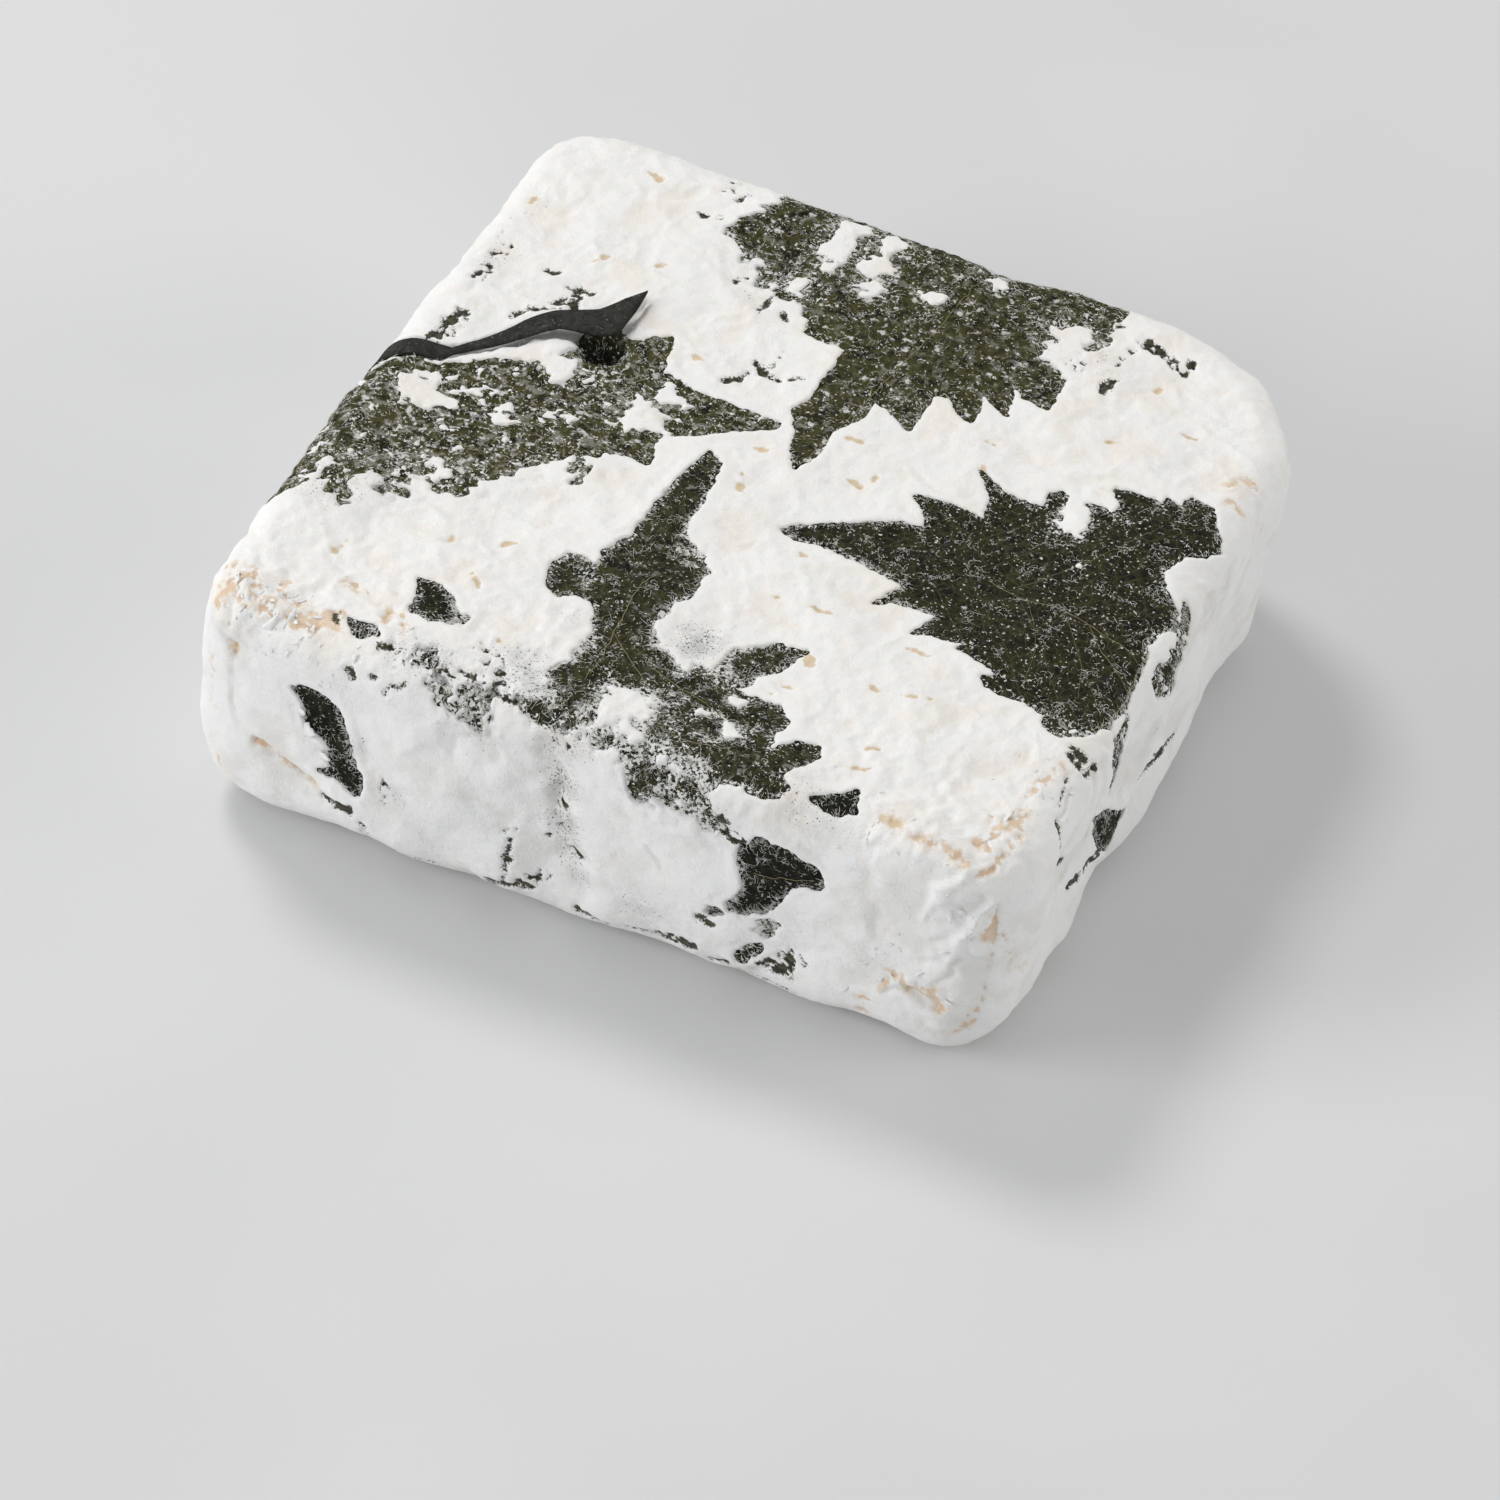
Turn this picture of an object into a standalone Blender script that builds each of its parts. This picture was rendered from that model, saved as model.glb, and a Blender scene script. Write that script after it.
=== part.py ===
"""A square soft-ripened cheese in a white bloomy rind, with pressed nettle leaves showing through the rind.

The slab is drawn in millimetres with its bottom centre at the origin. Its skin is unrolled into one flat
chart: inside the top face the chart is plain x and y, and past an edge it runs on down the side as arc length.
"""

import math

import bmesh
import bpy
import numpy as np
from mathutils import Vector, noise
from mathutils.bvhtree import BVHTree
from mathutils.geometry import delaunay_2d_cdt

MILLIMETRE = 0.001

# Slab
HALF_SIDE = 50.0
HEIGHT = 32.6
TOP_EDGE_RADIUS = 5.0
BOTTOM_EDGE_RADIUS = 7.0
FLARE = 1.04
BULGE = 0.4
LEAST_CORNER_RADIUS = 1.5
CORNERS = (
    (1, -1, 8.0),
    (1, 1, 21.0),
    (-1, 1, 6.5),
    (-1, -1, 6.0),
)

# Facets of the slab
EDGE_STEPS = 4
SIDE_STEPS = 7
FACET = 3.0
TOP_FACET = 2.9

# Relief of the rind
LUMP_SIZE = 9.0
LUMP_HEIGHT = 0.8
SWELL_SIZE = 24.0
SWELL_HEIGHT = 0.5
FOOT_FADE = 5.0

# Leaves
LEAF_THICKNESS = 0.45
LEAF_GAP = 0.3
LEAF_WAVE = 0.14
LEAF_WAVE_SIZE = 4.0
LEAF_FACET = 2.7
SEAT_DEPTH = 0.7
SEAT_BORDER = 1.6
FOLD_LIFT = 1.3
FOLD_START = 30.0
FOLD_REACH = 14.0

# Arc lengths along the chart
FLAT_HALF = HALF_SIDE + FLARE - TOP_EDGE_RADIUS
TOP_ARC = TOP_EDGE_RADIUS * math.pi / 2
SIDE_RUN = HEIGHT - TOP_EDGE_RADIUS - BOTTOM_EDGE_RADIUS
BOTTOM_ARC = BOTTOM_EDGE_RADIUS * math.pi / 2
SIDE_START = FLAT_HALF + TOP_ARC

# Colours
RIND_COLOUR = (0.80, 0.77, 0.71, 1.0)
LEAF_COLOUR = (0.045, 0.050, 0.028, 1.0)
FOLD_COLOUR = (0.050, 0.055, 0.045, 1.0)


def on_front(points):
    """Chart points of (x, height) pairs on the upright part of the front face."""
    return [(x, -SIDE_START - (HEIGHT - TOP_EDGE_RADIUS - z)) for x, z in points]


def on_right(points):
    """Chart points of (y, height) pairs on the upright part of the right face."""
    return [(SIDE_START + (HEIGHT - TOP_EDGE_RADIUS - z), y) for y, z in points]


def on_left(points):
    """Chart points of (y, height) pairs on the upright part of the left face."""
    return [(-u, y) for u, y in on_right(points)]


def on_back(points):
    """Chart points of (x, height) pairs on the upright part of the back face."""
    return [(x, -v) for x, v in on_front(points)]


def tooth(root, tip, end):
    """A saw tooth of a leaf's margin: out along a slightly bowed back to the tip, then in to the notch."""
    back = (
        (root[0] + tip[0]) / 2 + 0.12 * (tip[1] - root[1]),
        (root[1] + tip[1]) / 2 - 0.12 * (tip[0] - root[0]),
    )
    return [root, back, tip, end]


LEAVES = {
    "leaf_back": [
        (1.2, 1.8), (2.4, 6.0), (2.2, 10.0), (4.2, 14.0), (4.3, 18.0), (6.5, 17.6),
        (9.8, 15.2), (10.0, 22.0), *tooth((12.0, 22.8), (15.8, 20.2), (15.0, 25.8)),
        (18.8, 23.4), *tooth((17.2, 30.0), (22.8, 26.6), (22.3, 33.0)),
        (18.5, 35.5), (21.0, 39.5), (24.0, 40.0), (24.5, 46.5), (22.0, 53.0), (15.0, 57.0),
        (9.0, 62.0), (3.0, 61.0), (-4.0, 57.0), (-12.0, 58.0), (-19.5, 51.0), (-21.0, 43.0),
        (-23.5, 41.5), (-23.0, 38.0), (-20.0, 35.5), (-18.0, 36.0), (-15.5, 31.5), (-13.0, 29.5),
        (-9.0, 29.8), (-7.5, 25.8), (-2.0, 24.5), (-2.2, 15.0), (-3.4, 12.4), (-1.5, 9.0), (-0.5, 5.0),
    ],
    "leaf_left": [
        (-4.2, 9.3), (-8.0, 9.2), (-15.0, 9.6), (-20.0, 11.0), (-20.4, 14.0), (-21.2, 17.0),
        (-23.5, 15.5), (-25.2, 14.0), (-27.2, 14.8), (-30.2, 12.6), (-29.8, 9.0), (-31.5, 5.0), (-36.0, 4.2),
        (-40.0, 2.0), (-42.8, -0.6), (-45.8, -1.3), (-48.0, -2.3),
        (-51.6, -4.2), (-55.2, -5.5), (-59.0, -6.5), (-63.0, -9.0),
        (-60.0, -16.0), (-61.0, -21.0), (-55.0, -25.5), (-53.0, -30.0), (-50.0, -31.0), (-48.3, -29.0),
        (-46.5, -26.2), (-44.6, -25.8), (-44.3, -28.4), (-41.4, -28.8), (-43.5, -24.0), (-40.0, -22.5),
        (-38.5, -24.6), (-36.8, -24.0), (-37.0, -21.0), (-31.0, -21.0), (-29.8, -17.0), (-28.0, -16.2),
        (-26.0, -12.0), (-24.5, -11.0), (-22.0, -9.8), (-19.2, -13.2), (-20.5, -8.0), (-19.5, -5.2),
        (-14.3, -5.4), (-15.5, -1.5), (-14.8, 0.5), (-11.0, 2.5), (-8.0, 5.2), (-4.2, 8.0),
    ],
    "leaf_left_fold": [
        (-49.4, 1.6), (-45.7, 2.3), (-43.1, 2.7), (-40.8, 5.6), (-39.3, 7.7), (-37.4, 10.5),
        (-34.8, 13.3), (-32.8, 14.5), (-30.4, 16.4), (-28.5, 19.3), (-26.5, 21.5), (-26.4, 19.0),
        (-26.5, 15.7), (-26.5, 12.9), (-28.2, 11.6), (-30.3, 10.7), (-32.8, 10.3), (-34.7, 8.8),
        (-37.4, 6.3), (-40.1, 4.1), (-42.4, 2.0), (-43.5, 0.2), (-45.8, -0.3), (-47.9, -1.3),
        (-51.5, -3.2), (-55.0, -4.5), (-56.0, -1.5), (-53.0, 0.6),
    ],
    "leaf_front": [
        (-8.6, -0.4), (-6.8, -1.8), (-6.0, -6.0), (-5.6, -12.0), (-5.2, -15.0), (-2.0, -16.5),
        (-0.8, -19.0), (-0.4, -24.0), (-1.8, -27.0), (-1.8, -32.0), (0.5, -34.5), (4.0, -35.5),
        (7.0, -34.0), (7.5, -31.0), (10.0, -28.0), (11.5, -26.8), (15.0, -26.6), (13.5, -30.0),
        (11.5, -33.0), (10.5, -36.0), (14.0, -36.2), (16.0, -36.0), (17.8, -38.0), (17.3, -41.0),
        (18.0, -43.5), (20.0, -41.0), (22.5, -40.2), (23.2, -42.0), (21.5, -45.0), (20.0, -47.0),
        (22.0, -47.8), (21.0, -49.2), (14.0, -49.6), (13.5, -51.5), (16.6, -55.8), (13.5, -55.4),
        (8.0, -54.6), (4.6, -54.0), (4.4, -50.6), (2.0, -50.4), (-3.0, -49.8), (-6.0, -50.2),
        (-9.8, -49.2), (-6.5, -48.2), (-8.5, -45.5), (-8.2, -43.0), (-7.0, -40.0), (-7.0, -36.0),
        (-8.0, -33.0), (-9.3, -30.5), (-12.5, -30.0), (-13.5, -31.3), (-15.3, -30.0), (-16.5, -27.0),
        (-15.5, -24.0), (-13.0, -24.2), (-12.0, -25.0), (-12.0, -21.5), (-10.3, -18.5), (-10.0, -10.0),
        (-9.3, -4.0),
    ],
    "leaf_right": [
        (4.0, -8.6), (5.5, -6.6), (9.0, -4.5), (12.5, -2.2), (15.5, -0.3),
        *tooth((18.6, 0.2), (15.2, 4.6), (19.8, 5.2)), *tooth((24.0, 4.9), (20.2, 12.4), (24.0, 10.4)),
        (29.0, 10.3), (28.8, 13.0), (30.0, 13.8), (31.0, 12.6), (35.0, 13.2), (36.8, 12.0),
        (37.0, 14.5), (35.4, 16.8), (38.5, 17.0), (40.0, 17.2), (41.8, 15.8), (41.3, 18.2),
        (43.2, 17.6), (43.8, 19.9), (46.5, 18.8), (48.2, 15.7), (49.6, 14.0), (48.5, 11.8),
        (46.5, 10.2), (45.2, 6.6), (46.5, 3.8), (49.2, 1.5), (49.8, -1.3), (48.3, -3.5),
        (48.6, -7.0), (49.6, -9.6), (50.0, -15.3), (49.4, -20.2), (47.5, -24.0), (45.0, -25.5),
        (43.3, -24.6), (42.6, -22.8), (40.0, -21.8), (37.5, -22.2), (35.0, -21.7), (34.2, -20.9),
        (36.5, -19.8), (33.5, -18.8), (30.0, -18.0), (30.8, -16.4), *tooth((28.5, -17.0), (24.2, -17.6), (25.8, -13.0)),
        *tooth((22.0, -13.2), (18.2, -14.8), (20.5, -10.4)), (15.0, -9.1), (10.0, -8.3),
    ],
    "scrap_front_left": [
        (-28.5, -36.5), (-25.0, -37.0), (-23.0, -39.4), (-20.8, -40.2), (-22.0, -42.0),
        (-25.0, -43.0), (-26.8, -42.0), (-27.0, -40.0),
    ],
    "scrap_front_edge": [
        (-32.3, -46.2), (-31.3, -46.3), (-29.4, -46.6), (-28.6, -47.3), (-29.7, -48.2), (-31.2, -47.8),
    ],
    "scrap_front_jag": [
        (-23.7, -48.7), (-22.8, -48.0), (-21.6, -47.1), (-21.5, -48.0), (-22.1, -49.0), (-22.2, -49.8),
        (-23.1, -49.3),
    ],
    "scrap_front_ridge": [
        (-20.7, -50.3), (-19.2, -50.5), (-17.4, -50.4), (-16.9, -49.5), (-15.5, -49.1), (-14.2, -49.5),
        (-13.3, -51.1), (-13.5, -52.5), (-13.8, -53.2), (-15.1, -52.9), (-17.3, -52.0), (-19.6, -51.8),
    ],
    "scrap_near_corner": [
        (24.8, -48.0), (27.6, -46.4), (29.0, -44.9), (30.2, -47.6), (28.0, -48.8),
    ],
    "patch_front_left": on_front([
        (-36.9, 23.8), (-35.8, 24.6), (-34.3, 24.9), (-32.7, 24.3), (-31.4, 23.2), (-30.6, 21.6),
        (-29.8, 19.6), (-29.1, 17.7), (-28.8, 15.9), (-27.9, 14.7), (-27.9, 13.0), (-28.6, 11.7),
        (-29.8, 12.0), (-30.9, 12.8), (-33.2, 12.8), (-31.1, 14.2), (-32.1, 15.0), (-31.7, 17.3),
        (-32.9, 18.2), (-34.7, 19.0), (-35.3, 20.1), (-35.0, 21.0), (-36.0, 23.0),
    ]),
    "patch_front_right": on_front([
        (18.6, 24.4), (19.4, 25.1), (20.4, 26.4), (21.0, 26.8), (22.0, 26.3), (24.7, 26.2),
        (26.7, 25.4), (27.5, 25.0), (28.1, 24.2), (28.3, 23.0), (28.1, 22.3), (25.9, 22.1),
        (24.8, 21.3), (23.9, 19.8), (23.2, 18.3), (22.1, 16.0), (20.3, 15.6), (17.3, 14.0),
        (16.1, 13.6), (16.9, 15.1), (18.4, 17.0), (19.1, 18.6), (19.4, 20.8), (18.8, 22.1),
    ]),
    "patch_front_stub": on_front([
        (21.8, 14.7), (22.5, 15.6), (23.5, 14.8), (23.3, 12.8), (22.4, 11.6), (21.7, 12.7),
        (22.1, 14.0),
    ]),
    "patch_front_arc": on_front([
        (18.7, 6.8), (19.5, 7.9), (20.6, 9.3), (21.8, 10.9), (22.3, 10.8), (21.6, 9.2),
        (20.5, 7.6), (19.3, 6.3),
    ]),
    "patch_right_low": on_right([
        (-27.3, 24.4), (-22.0, 20.4), (-16.0, 16.0), (-13.2, 14.2), (-12.9, 11.6), (-14.7, 10.9),
        (-17.5, 11.5), (-20.9, 14.1), (-23.1, 18.2),
    ]),
    "patch_right_high": [
        (49.6, 3.9), (50.6, 3.2), (51.3, 0.6), (51.9, -2.1), (52.4, -4.9), (54.8, -5.8),
        (53.4, -9.0), (51.6, -8.3), (51.3, -5.6), (50.9, -3.0), (50.7, 0.1), (50.0, 2.2),
    ],
    "patch_right_strip": [
        (51.0, -15.8), (51.6, -17.2), (52.4, -19.4), (54.4, -21.4), (57.7, -21.9),
        (55.5, -24.0), (52.6, -23.3), (51.4, -20.5), (50.9, -17.8),
    ],
    "patch_back": on_back([
        (28.0, 21.0), (24.0, 23.6), (17.0, 22.4), (13.0, 18.4), (16.4, 15.6), (15.4, 11.4),
        (20.0, 12.6), (25.0, 11.6), (26.4, 15.8), (30.2, 17.0),
    ]),
    "patch_left": on_left([
        (22.0, 24.4), (27.4, 22.0), (33.4, 17.4), (34.0, 12.4), (29.0, 13.6), (25.6, 10.6),
        (21.8, 13.0), (23.0, 17.6), (19.4, 19.6),
    ]),
}


def clear_scene():
    for obj in list(bpy.data.objects):
        bpy.data.objects.remove(obj)


def material(name, colour, roughness):
    made = bpy.data.materials.new(name)
    made.use_nodes = True
    shader = made.node_tree.nodes["Principled BSDF"]
    shader.inputs["Base Color"].default_value = colour
    shader.inputs["Roughness"].default_value = roughness
    shader.inputs["Metallic"].default_value = 0.0
    return made


def smooth_step(value, low, high):
    t = min(max((value - low) / (high - low), 0.0), 1.0)
    return t * t * (3 - 2 * t)


def side_offset(z):
    """How far the side stands out of the nominal square at this height: flared to the top, a little bulged."""
    t = 2 * z / HEIGHT - 1
    return FLARE * t + BULGE * (1 - t * t)


def profile(arc):
    """(outset from the nominal square, height, tilt of the normal from straight up) down the edge and side."""
    if arc <= TOP_ARC:
        tilt = arc / TOP_EDGE_RADIUS
        inset = TOP_EDGE_RADIUS * (1 - math.sin(tilt))
        z = HEIGHT - TOP_EDGE_RADIUS * (1 - math.cos(tilt))
    elif arc <= TOP_ARC + SIDE_RUN:
        tilt = math.pi / 2
        inset = 0.0
        z = HEIGHT - TOP_EDGE_RADIUS - (arc - TOP_ARC)
    else:
        turned = min((arc - TOP_ARC - SIDE_RUN) / BOTTOM_EDGE_RADIUS, math.pi / 2)
        tilt = math.pi / 2 + turned
        inset = BOTTOM_EDGE_RADIUS * (1 - math.cos(turned))
        z = BOTTOM_EDGE_RADIUS * (1 - math.sin(turned))
    return side_offset(z) - inset, z, tilt


def wrap(u, v):
    """The point and outward normal on the plain slab at a chart point. Leaves keep clear of the upright corners."""
    over_u = abs(u) - FLAT_HALF
    over_v = abs(v) - FLAT_HALF
    if over_u <= 0 and over_v <= 0:
        return Vector((u, v, HEIGHT)), Vector((0, 0, 1))
    outset, z, tilt = profile(max(over_u, over_v))
    if over_u > over_v:
        side = math.copysign(1, u)
        point = Vector((side * (HALF_SIDE + outset), v, z))
        return point, Vector((side * math.sin(tilt), 0, math.cos(tilt)))
    side = math.copysign(1, v)
    point = Vector((u, side * (HALF_SIDE + outset), z))
    return point, Vector((0, side * math.sin(tilt), math.cos(tilt)))


def signed_distances(points, outline):
    """For each chart point, its distance to the outline, positive inside."""
    points = np.asarray(points, float)
    start = np.asarray(outline, float)
    along = np.roll(start, -1, axis=0) - start
    offset = points[:, None] - start
    t = np.clip((offset * along).sum(2) / (along * along).sum(1), 0, 1)
    nearest = np.linalg.norm(offset - t[..., None] * along, axis=2).min(1)
    end_v = start[:, 1] + along[:, 1]
    spans = (start[:, 1] > points[:, 1:]) != (end_v > points[:, 1:])
    rise = np.where(along[:, 1] == 0, 1.0, along[:, 1])
    crossing = start[:, 0] + (points[:, 1:] - start[:, 1]) * along[:, 0] / rise
    inside = (spans & (points[:, :1] < crossing)).sum(1) % 2 == 1
    return np.where(inside, nearest, -nearest)


def bump(value, centre, width):
    """A smooth hump of height one, and of this width at half height."""
    return math.exp(-2.77 * ((value - centre) / width) ** 2)


def relief(point, normal):
    """How far the rind stands off the plain slab: low lumps, and the swellings and creases of the front face."""
    lumps = LUMP_HEIGHT * noise.noise(point / LUMP_SIZE)
    swell = SWELL_HEIGHT * noise.noise(point / SWELL_SIZE + Vector((7.3, 1.9, 4.1)))
    total = lumps + swell
    front = max(-normal.y, 0.0)
    total += front * 0.9 * bump(point.x, -22.0, 20.0) * bump(point.z, 15.0, 16.0)
    total += front * 1.0 * bump(point.x, 6.0, 15.0) * bump(point.z, 15.0, 15.0)
    total -= front * 0.9 * bump(point.x, -5.0, 7.0) * bump(point.z, 16.0, 22.0)
    right = max(normal.x, 0.0)
    slant = point.y - 0.9 * (point.z - HEIGHT / 2)
    total += right * 0.5 * math.sin(slant / 3.4) * bump(slant, -10.0, 46.0)
    return total * smooth_step(point.z, 0.2, FOOT_FADE)


def ring(outset):
    """The slab's plan outline at this outset, as (point, outward direction, side) with a corner's side 0."""
    half = HALF_SIDE + outset
    arcs = []
    for sign_x, sign_y, radius in CORNERS:
        rounded = max(radius + outset, LEAST_CORNER_RADIUS)
        centre = Vector((sign_x * (half - rounded), sign_y * (half - rounded)))
        steps = max(3, round(radius * math.pi / 2 / FACET))
        first = math.atan2(sign_y, sign_x) - math.pi / 4
        arc = []
        for step in range(steps + 1):
            angle = first + math.pi / 2 * step / steps
            outward = Vector((math.cos(angle), math.sin(angle)))
            arc.append((centre + rounded * outward, outward, 0))
        arcs.append(arc)
    outline = []
    for index, arc in enumerate(arcs):
        outline += arc
        start, outward, _ = arc[-1]
        end = arcs[(index + 1) % 4][0][0]
        corner_radii = CORNERS[index][2] + CORNERS[(index + 1) % 4][2]
        steps = round((2 * HALF_SIDE - corner_radii) / FACET)
        for step in range(1, steps):
            outline.append((start.lerp(end, step / steps), outward, index + 1))
    return outline


def chart_point(plan, outward, arc, side):
    """The chart point of a point on a straight side, or None in an upright corner."""
    if side == 0:
        return None
    reach = FLAT_HALF + arc
    if abs(outward.x) > abs(outward.y):
        return (math.copysign(reach, outward.x), plan.y)
    return (plan.x, math.copysign(reach, outward.y))


def ring_arcs():
    """Arc lengths of the rings from the top face's border down to the foot."""
    arcs = [TOP_ARC * step / EDGE_STEPS for step in range(EDGE_STEPS)]
    arcs += [TOP_ARC + SIDE_RUN * step / SIDE_STEPS for step in range(SIDE_STEPS)]
    arcs += [TOP_ARC + SIDE_RUN + BOTTOM_ARC * step / EDGE_STEPS for step in range(EDGE_STEPS + 1)]
    return arcs


def top_lattice(border):
    """Points of a triangular lattice inside the top face, clear of its border."""
    rows = int(FLAT_HALF / (TOP_FACET * 0.866)) + 1
    columns = int(FLAT_HALF / TOP_FACET) + 2
    points = []
    for row in range(-rows, rows + 1):
        shift = 0.5 * (row % 2)
        for column in range(-columns, columns + 1):
            points.append(((column + shift) * TOP_FACET, row * TOP_FACET * 0.866))
    inside = signed_distances(points, border) > TOP_FACET / 2
    return [point for point, keep in zip(points, inside) if keep]


def seat_depths(chart_points):
    """How deep the rind is pressed in at each chart point, so that the leaves lie flush."""
    known = [index for index, point in enumerate(chart_points) if point is not None]
    points = [chart_points[index] for index in known]
    deepest = np.full(len(points), -1e3)
    for outline in LEAVES.values():
        deepest = np.maximum(deepest, signed_distances(points, outline))
    depths = np.zeros(len(chart_points))
    depths[known] = SEAT_DEPTH * np.clip((deepest + SEAT_BORDER) / SEAT_BORDER, 0, 1)
    return depths


def slab_mesh():
    plain = []
    charts = []
    for arc in ring_arcs():
        outset, z, tilt = profile(arc)
        for plan, outward, side in ring(outset):
            point = Vector((plan.x, plan.y, z))
            normal = Vector((outward.x * math.sin(tilt), outward.y * math.sin(tilt), math.cos(tilt)))
            plain.append((point, normal))
            charts.append(chart_point(plan, outward, arc, side))
    count = len(ring(0.0))
    border = [(point.x, point.y) for point, _ in plain[:count]]
    lattice = top_lattice(border)
    for u, v in lattice:
        plain.append((Vector((u, v, HEIGHT)), Vector((0, 0, 1))))
        charts.append((u, v))
    depths = seat_depths(charts)
    points = [
        point + normal * (relief(point, normal) - depth)
        for (point, normal), depth in zip(plain, depths)
    ]
    rings = len(ring_arcs())
    faces = []
    for row in range(rings - 1):
        for column in range(count):
            following = (column + 1) % count
            faces.append((
                row * count + column,
                (row + 1) * count + column,
                (row + 1) * count + following,
                row * count + following,
            ))
    faces.append(tuple(reversed([(rings - 1) * count + column for column in range(count)])))
    plan_points = [Vector(point) for point in border + lattice]
    border_edges = [(column, (column + 1) % count) for column in range(count)]
    top_faces = delaunay_2d_cdt(plan_points, border_edges, [], 1, 1e-6)[2]
    first_inner = rings * count
    for face in top_faces:
        faces.append(tuple(index if index < count else first_inner + index - count for index in face))
    return points, faces


def add_object(name, points, faces, finish):
    mesh = bpy.data.meshes.new(name)
    mesh.from_pydata([point * MILLIMETRE for point in points], [], faces)
    shaped = bmesh.new()
    shaped.from_mesh(mesh)
    bmesh.ops.triangulate(shaped, faces=shaped.faces)
    bmesh.ops.recalc_face_normals(shaped, faces=shaped.faces)
    shaped.to_mesh(mesh)
    shaped.free()
    mesh.materials.append(finish)
    mesh.shade_smooth()
    mesh.set_sharp_from_angle(angle=math.radians(50))
    made = bpy.data.objects.new(name, mesh)
    bpy.context.scene.collection.objects.link(made)
    return made


def densified(outline):
    """The outline with its long stretches split, so that the sheet can follow the rind."""
    points = []
    for index, start in enumerate(outline):
        end = outline[(index + 1) % len(outline)]
        steps = max(1, math.ceil(math.dist(start, end) / LEAF_FACET))
        for step in range(steps):
            t = step / steps
            points.append((start[0] + (end[0] - start[0]) * t, start[1] + (end[1] - start[1]) * t))
    return points


def sheet_faces(outline):
    """Chart points and triangles that fill a leaf's outline, with a lattice inside it."""
    border = densified(outline)
    low = [min(point[axis] for point in border) for axis in (0, 1)]
    high = [max(point[axis] for point in border) for axis in (0, 1)]
    candidates = []
    for row in range(int((high[1] - low[1]) / (LEAF_FACET * 0.866)) + 2):
        for column in range(int((high[0] - low[0]) / LEAF_FACET) + 2):
            u = low[0] + (column + 0.5 * (row % 2)) * LEAF_FACET
            candidates.append((u, low[1] + row * LEAF_FACET * 0.866))
    clear = signed_distances(candidates, border) > LEAF_FACET / 2
    points = border + [point for point, keep in zip(candidates, clear) if keep]
    edges = [(index, (index + 1) % len(border)) for index in range(len(border))]
    faces = delaunay_2d_cdt([Vector(point) for point in points], edges, [], 1, 1e-6)[2]
    return points, [tuple(face) for face in faces], len(border)


def fold_lift(u, v):
    """How far the folded leaf stands off the rind: nothing at the slab's edge, most at its free tip."""
    reach = max(0.0, u + FOLD_START + FOLD_REACH) / FOLD_REACH
    return FOLD_LIFT * smooth_step(reach, 0.0, 1.0)


def leaf_mesh(name, outline, rind):
    """A thin wavy sheet laid on the rind, its two faces split into the same triangles."""
    chart, faces, border_count = sheet_faces(outline)
    count = len(chart)
    under = []
    over = []
    for u, v in chart:
        point, normal = wrap(u, v)
        hit = rind.ray_cast(point + normal * 4.0, -normal)[0]
        wave = LEAF_WAVE * (1 + noise.noise(Vector((u, v, 0)) / LEAF_WAVE_SIZE))
        lift = LEAF_GAP + wave
        if name == "leaf_left_fold":
            lift += fold_lift(u, v)
        under.append(hit + normal * lift)
        over.append(hit + normal * (lift + LEAF_THICKNESS))
    solid = [tuple(index + count for index in face) for face in faces]
    solid += [tuple(reversed(face)) for face in faces]
    for index in range(border_count):
        following = (index + 1) % border_count
        solid.append((index, following, following + count, index + count))
    return under + over, solid


def main():
    clear_scene()
    rind_finish = material("bloomy rind", RIND_COLOUR, 0.85)
    leaf_finish = material("pressed leaf", LEAF_COLOUR, 0.7)
    fold_finish = material("folded leaf", FOLD_COLOUR, 0.6)
    points, faces = slab_mesh()
    add_object("cheese", points, faces, rind_finish)
    rind = BVHTree.FromPolygons(points, faces)
    for name, outline in LEAVES.items():
        finish = fold_finish if name == "leaf_left_fold" else leaf_finish
        add_object(name, *leaf_mesh(name, outline, rind), finish)


main()
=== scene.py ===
"""The looks of a square leaf-wrapped camembert: its downy rind, pressed leaves and threads of mould."""

import itertools
import math

import bpy
import numpy as np
from mathutils import Matrix, Vector, noise
from mathutils.geometry import delaunay_2d_cdt


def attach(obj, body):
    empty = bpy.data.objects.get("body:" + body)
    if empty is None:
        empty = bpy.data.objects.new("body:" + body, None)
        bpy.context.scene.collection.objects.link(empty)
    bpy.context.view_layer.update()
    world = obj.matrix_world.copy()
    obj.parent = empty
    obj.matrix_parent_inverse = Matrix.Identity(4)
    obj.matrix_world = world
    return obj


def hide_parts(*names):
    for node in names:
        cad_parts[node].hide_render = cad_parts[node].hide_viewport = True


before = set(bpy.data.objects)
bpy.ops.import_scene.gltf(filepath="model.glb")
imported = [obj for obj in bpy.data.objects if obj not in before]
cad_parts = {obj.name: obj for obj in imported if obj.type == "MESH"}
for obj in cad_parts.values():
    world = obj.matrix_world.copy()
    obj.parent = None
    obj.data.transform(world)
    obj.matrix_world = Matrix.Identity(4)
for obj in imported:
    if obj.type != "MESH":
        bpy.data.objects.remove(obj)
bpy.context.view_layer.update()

MILLIMETRE = 0.001

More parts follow.
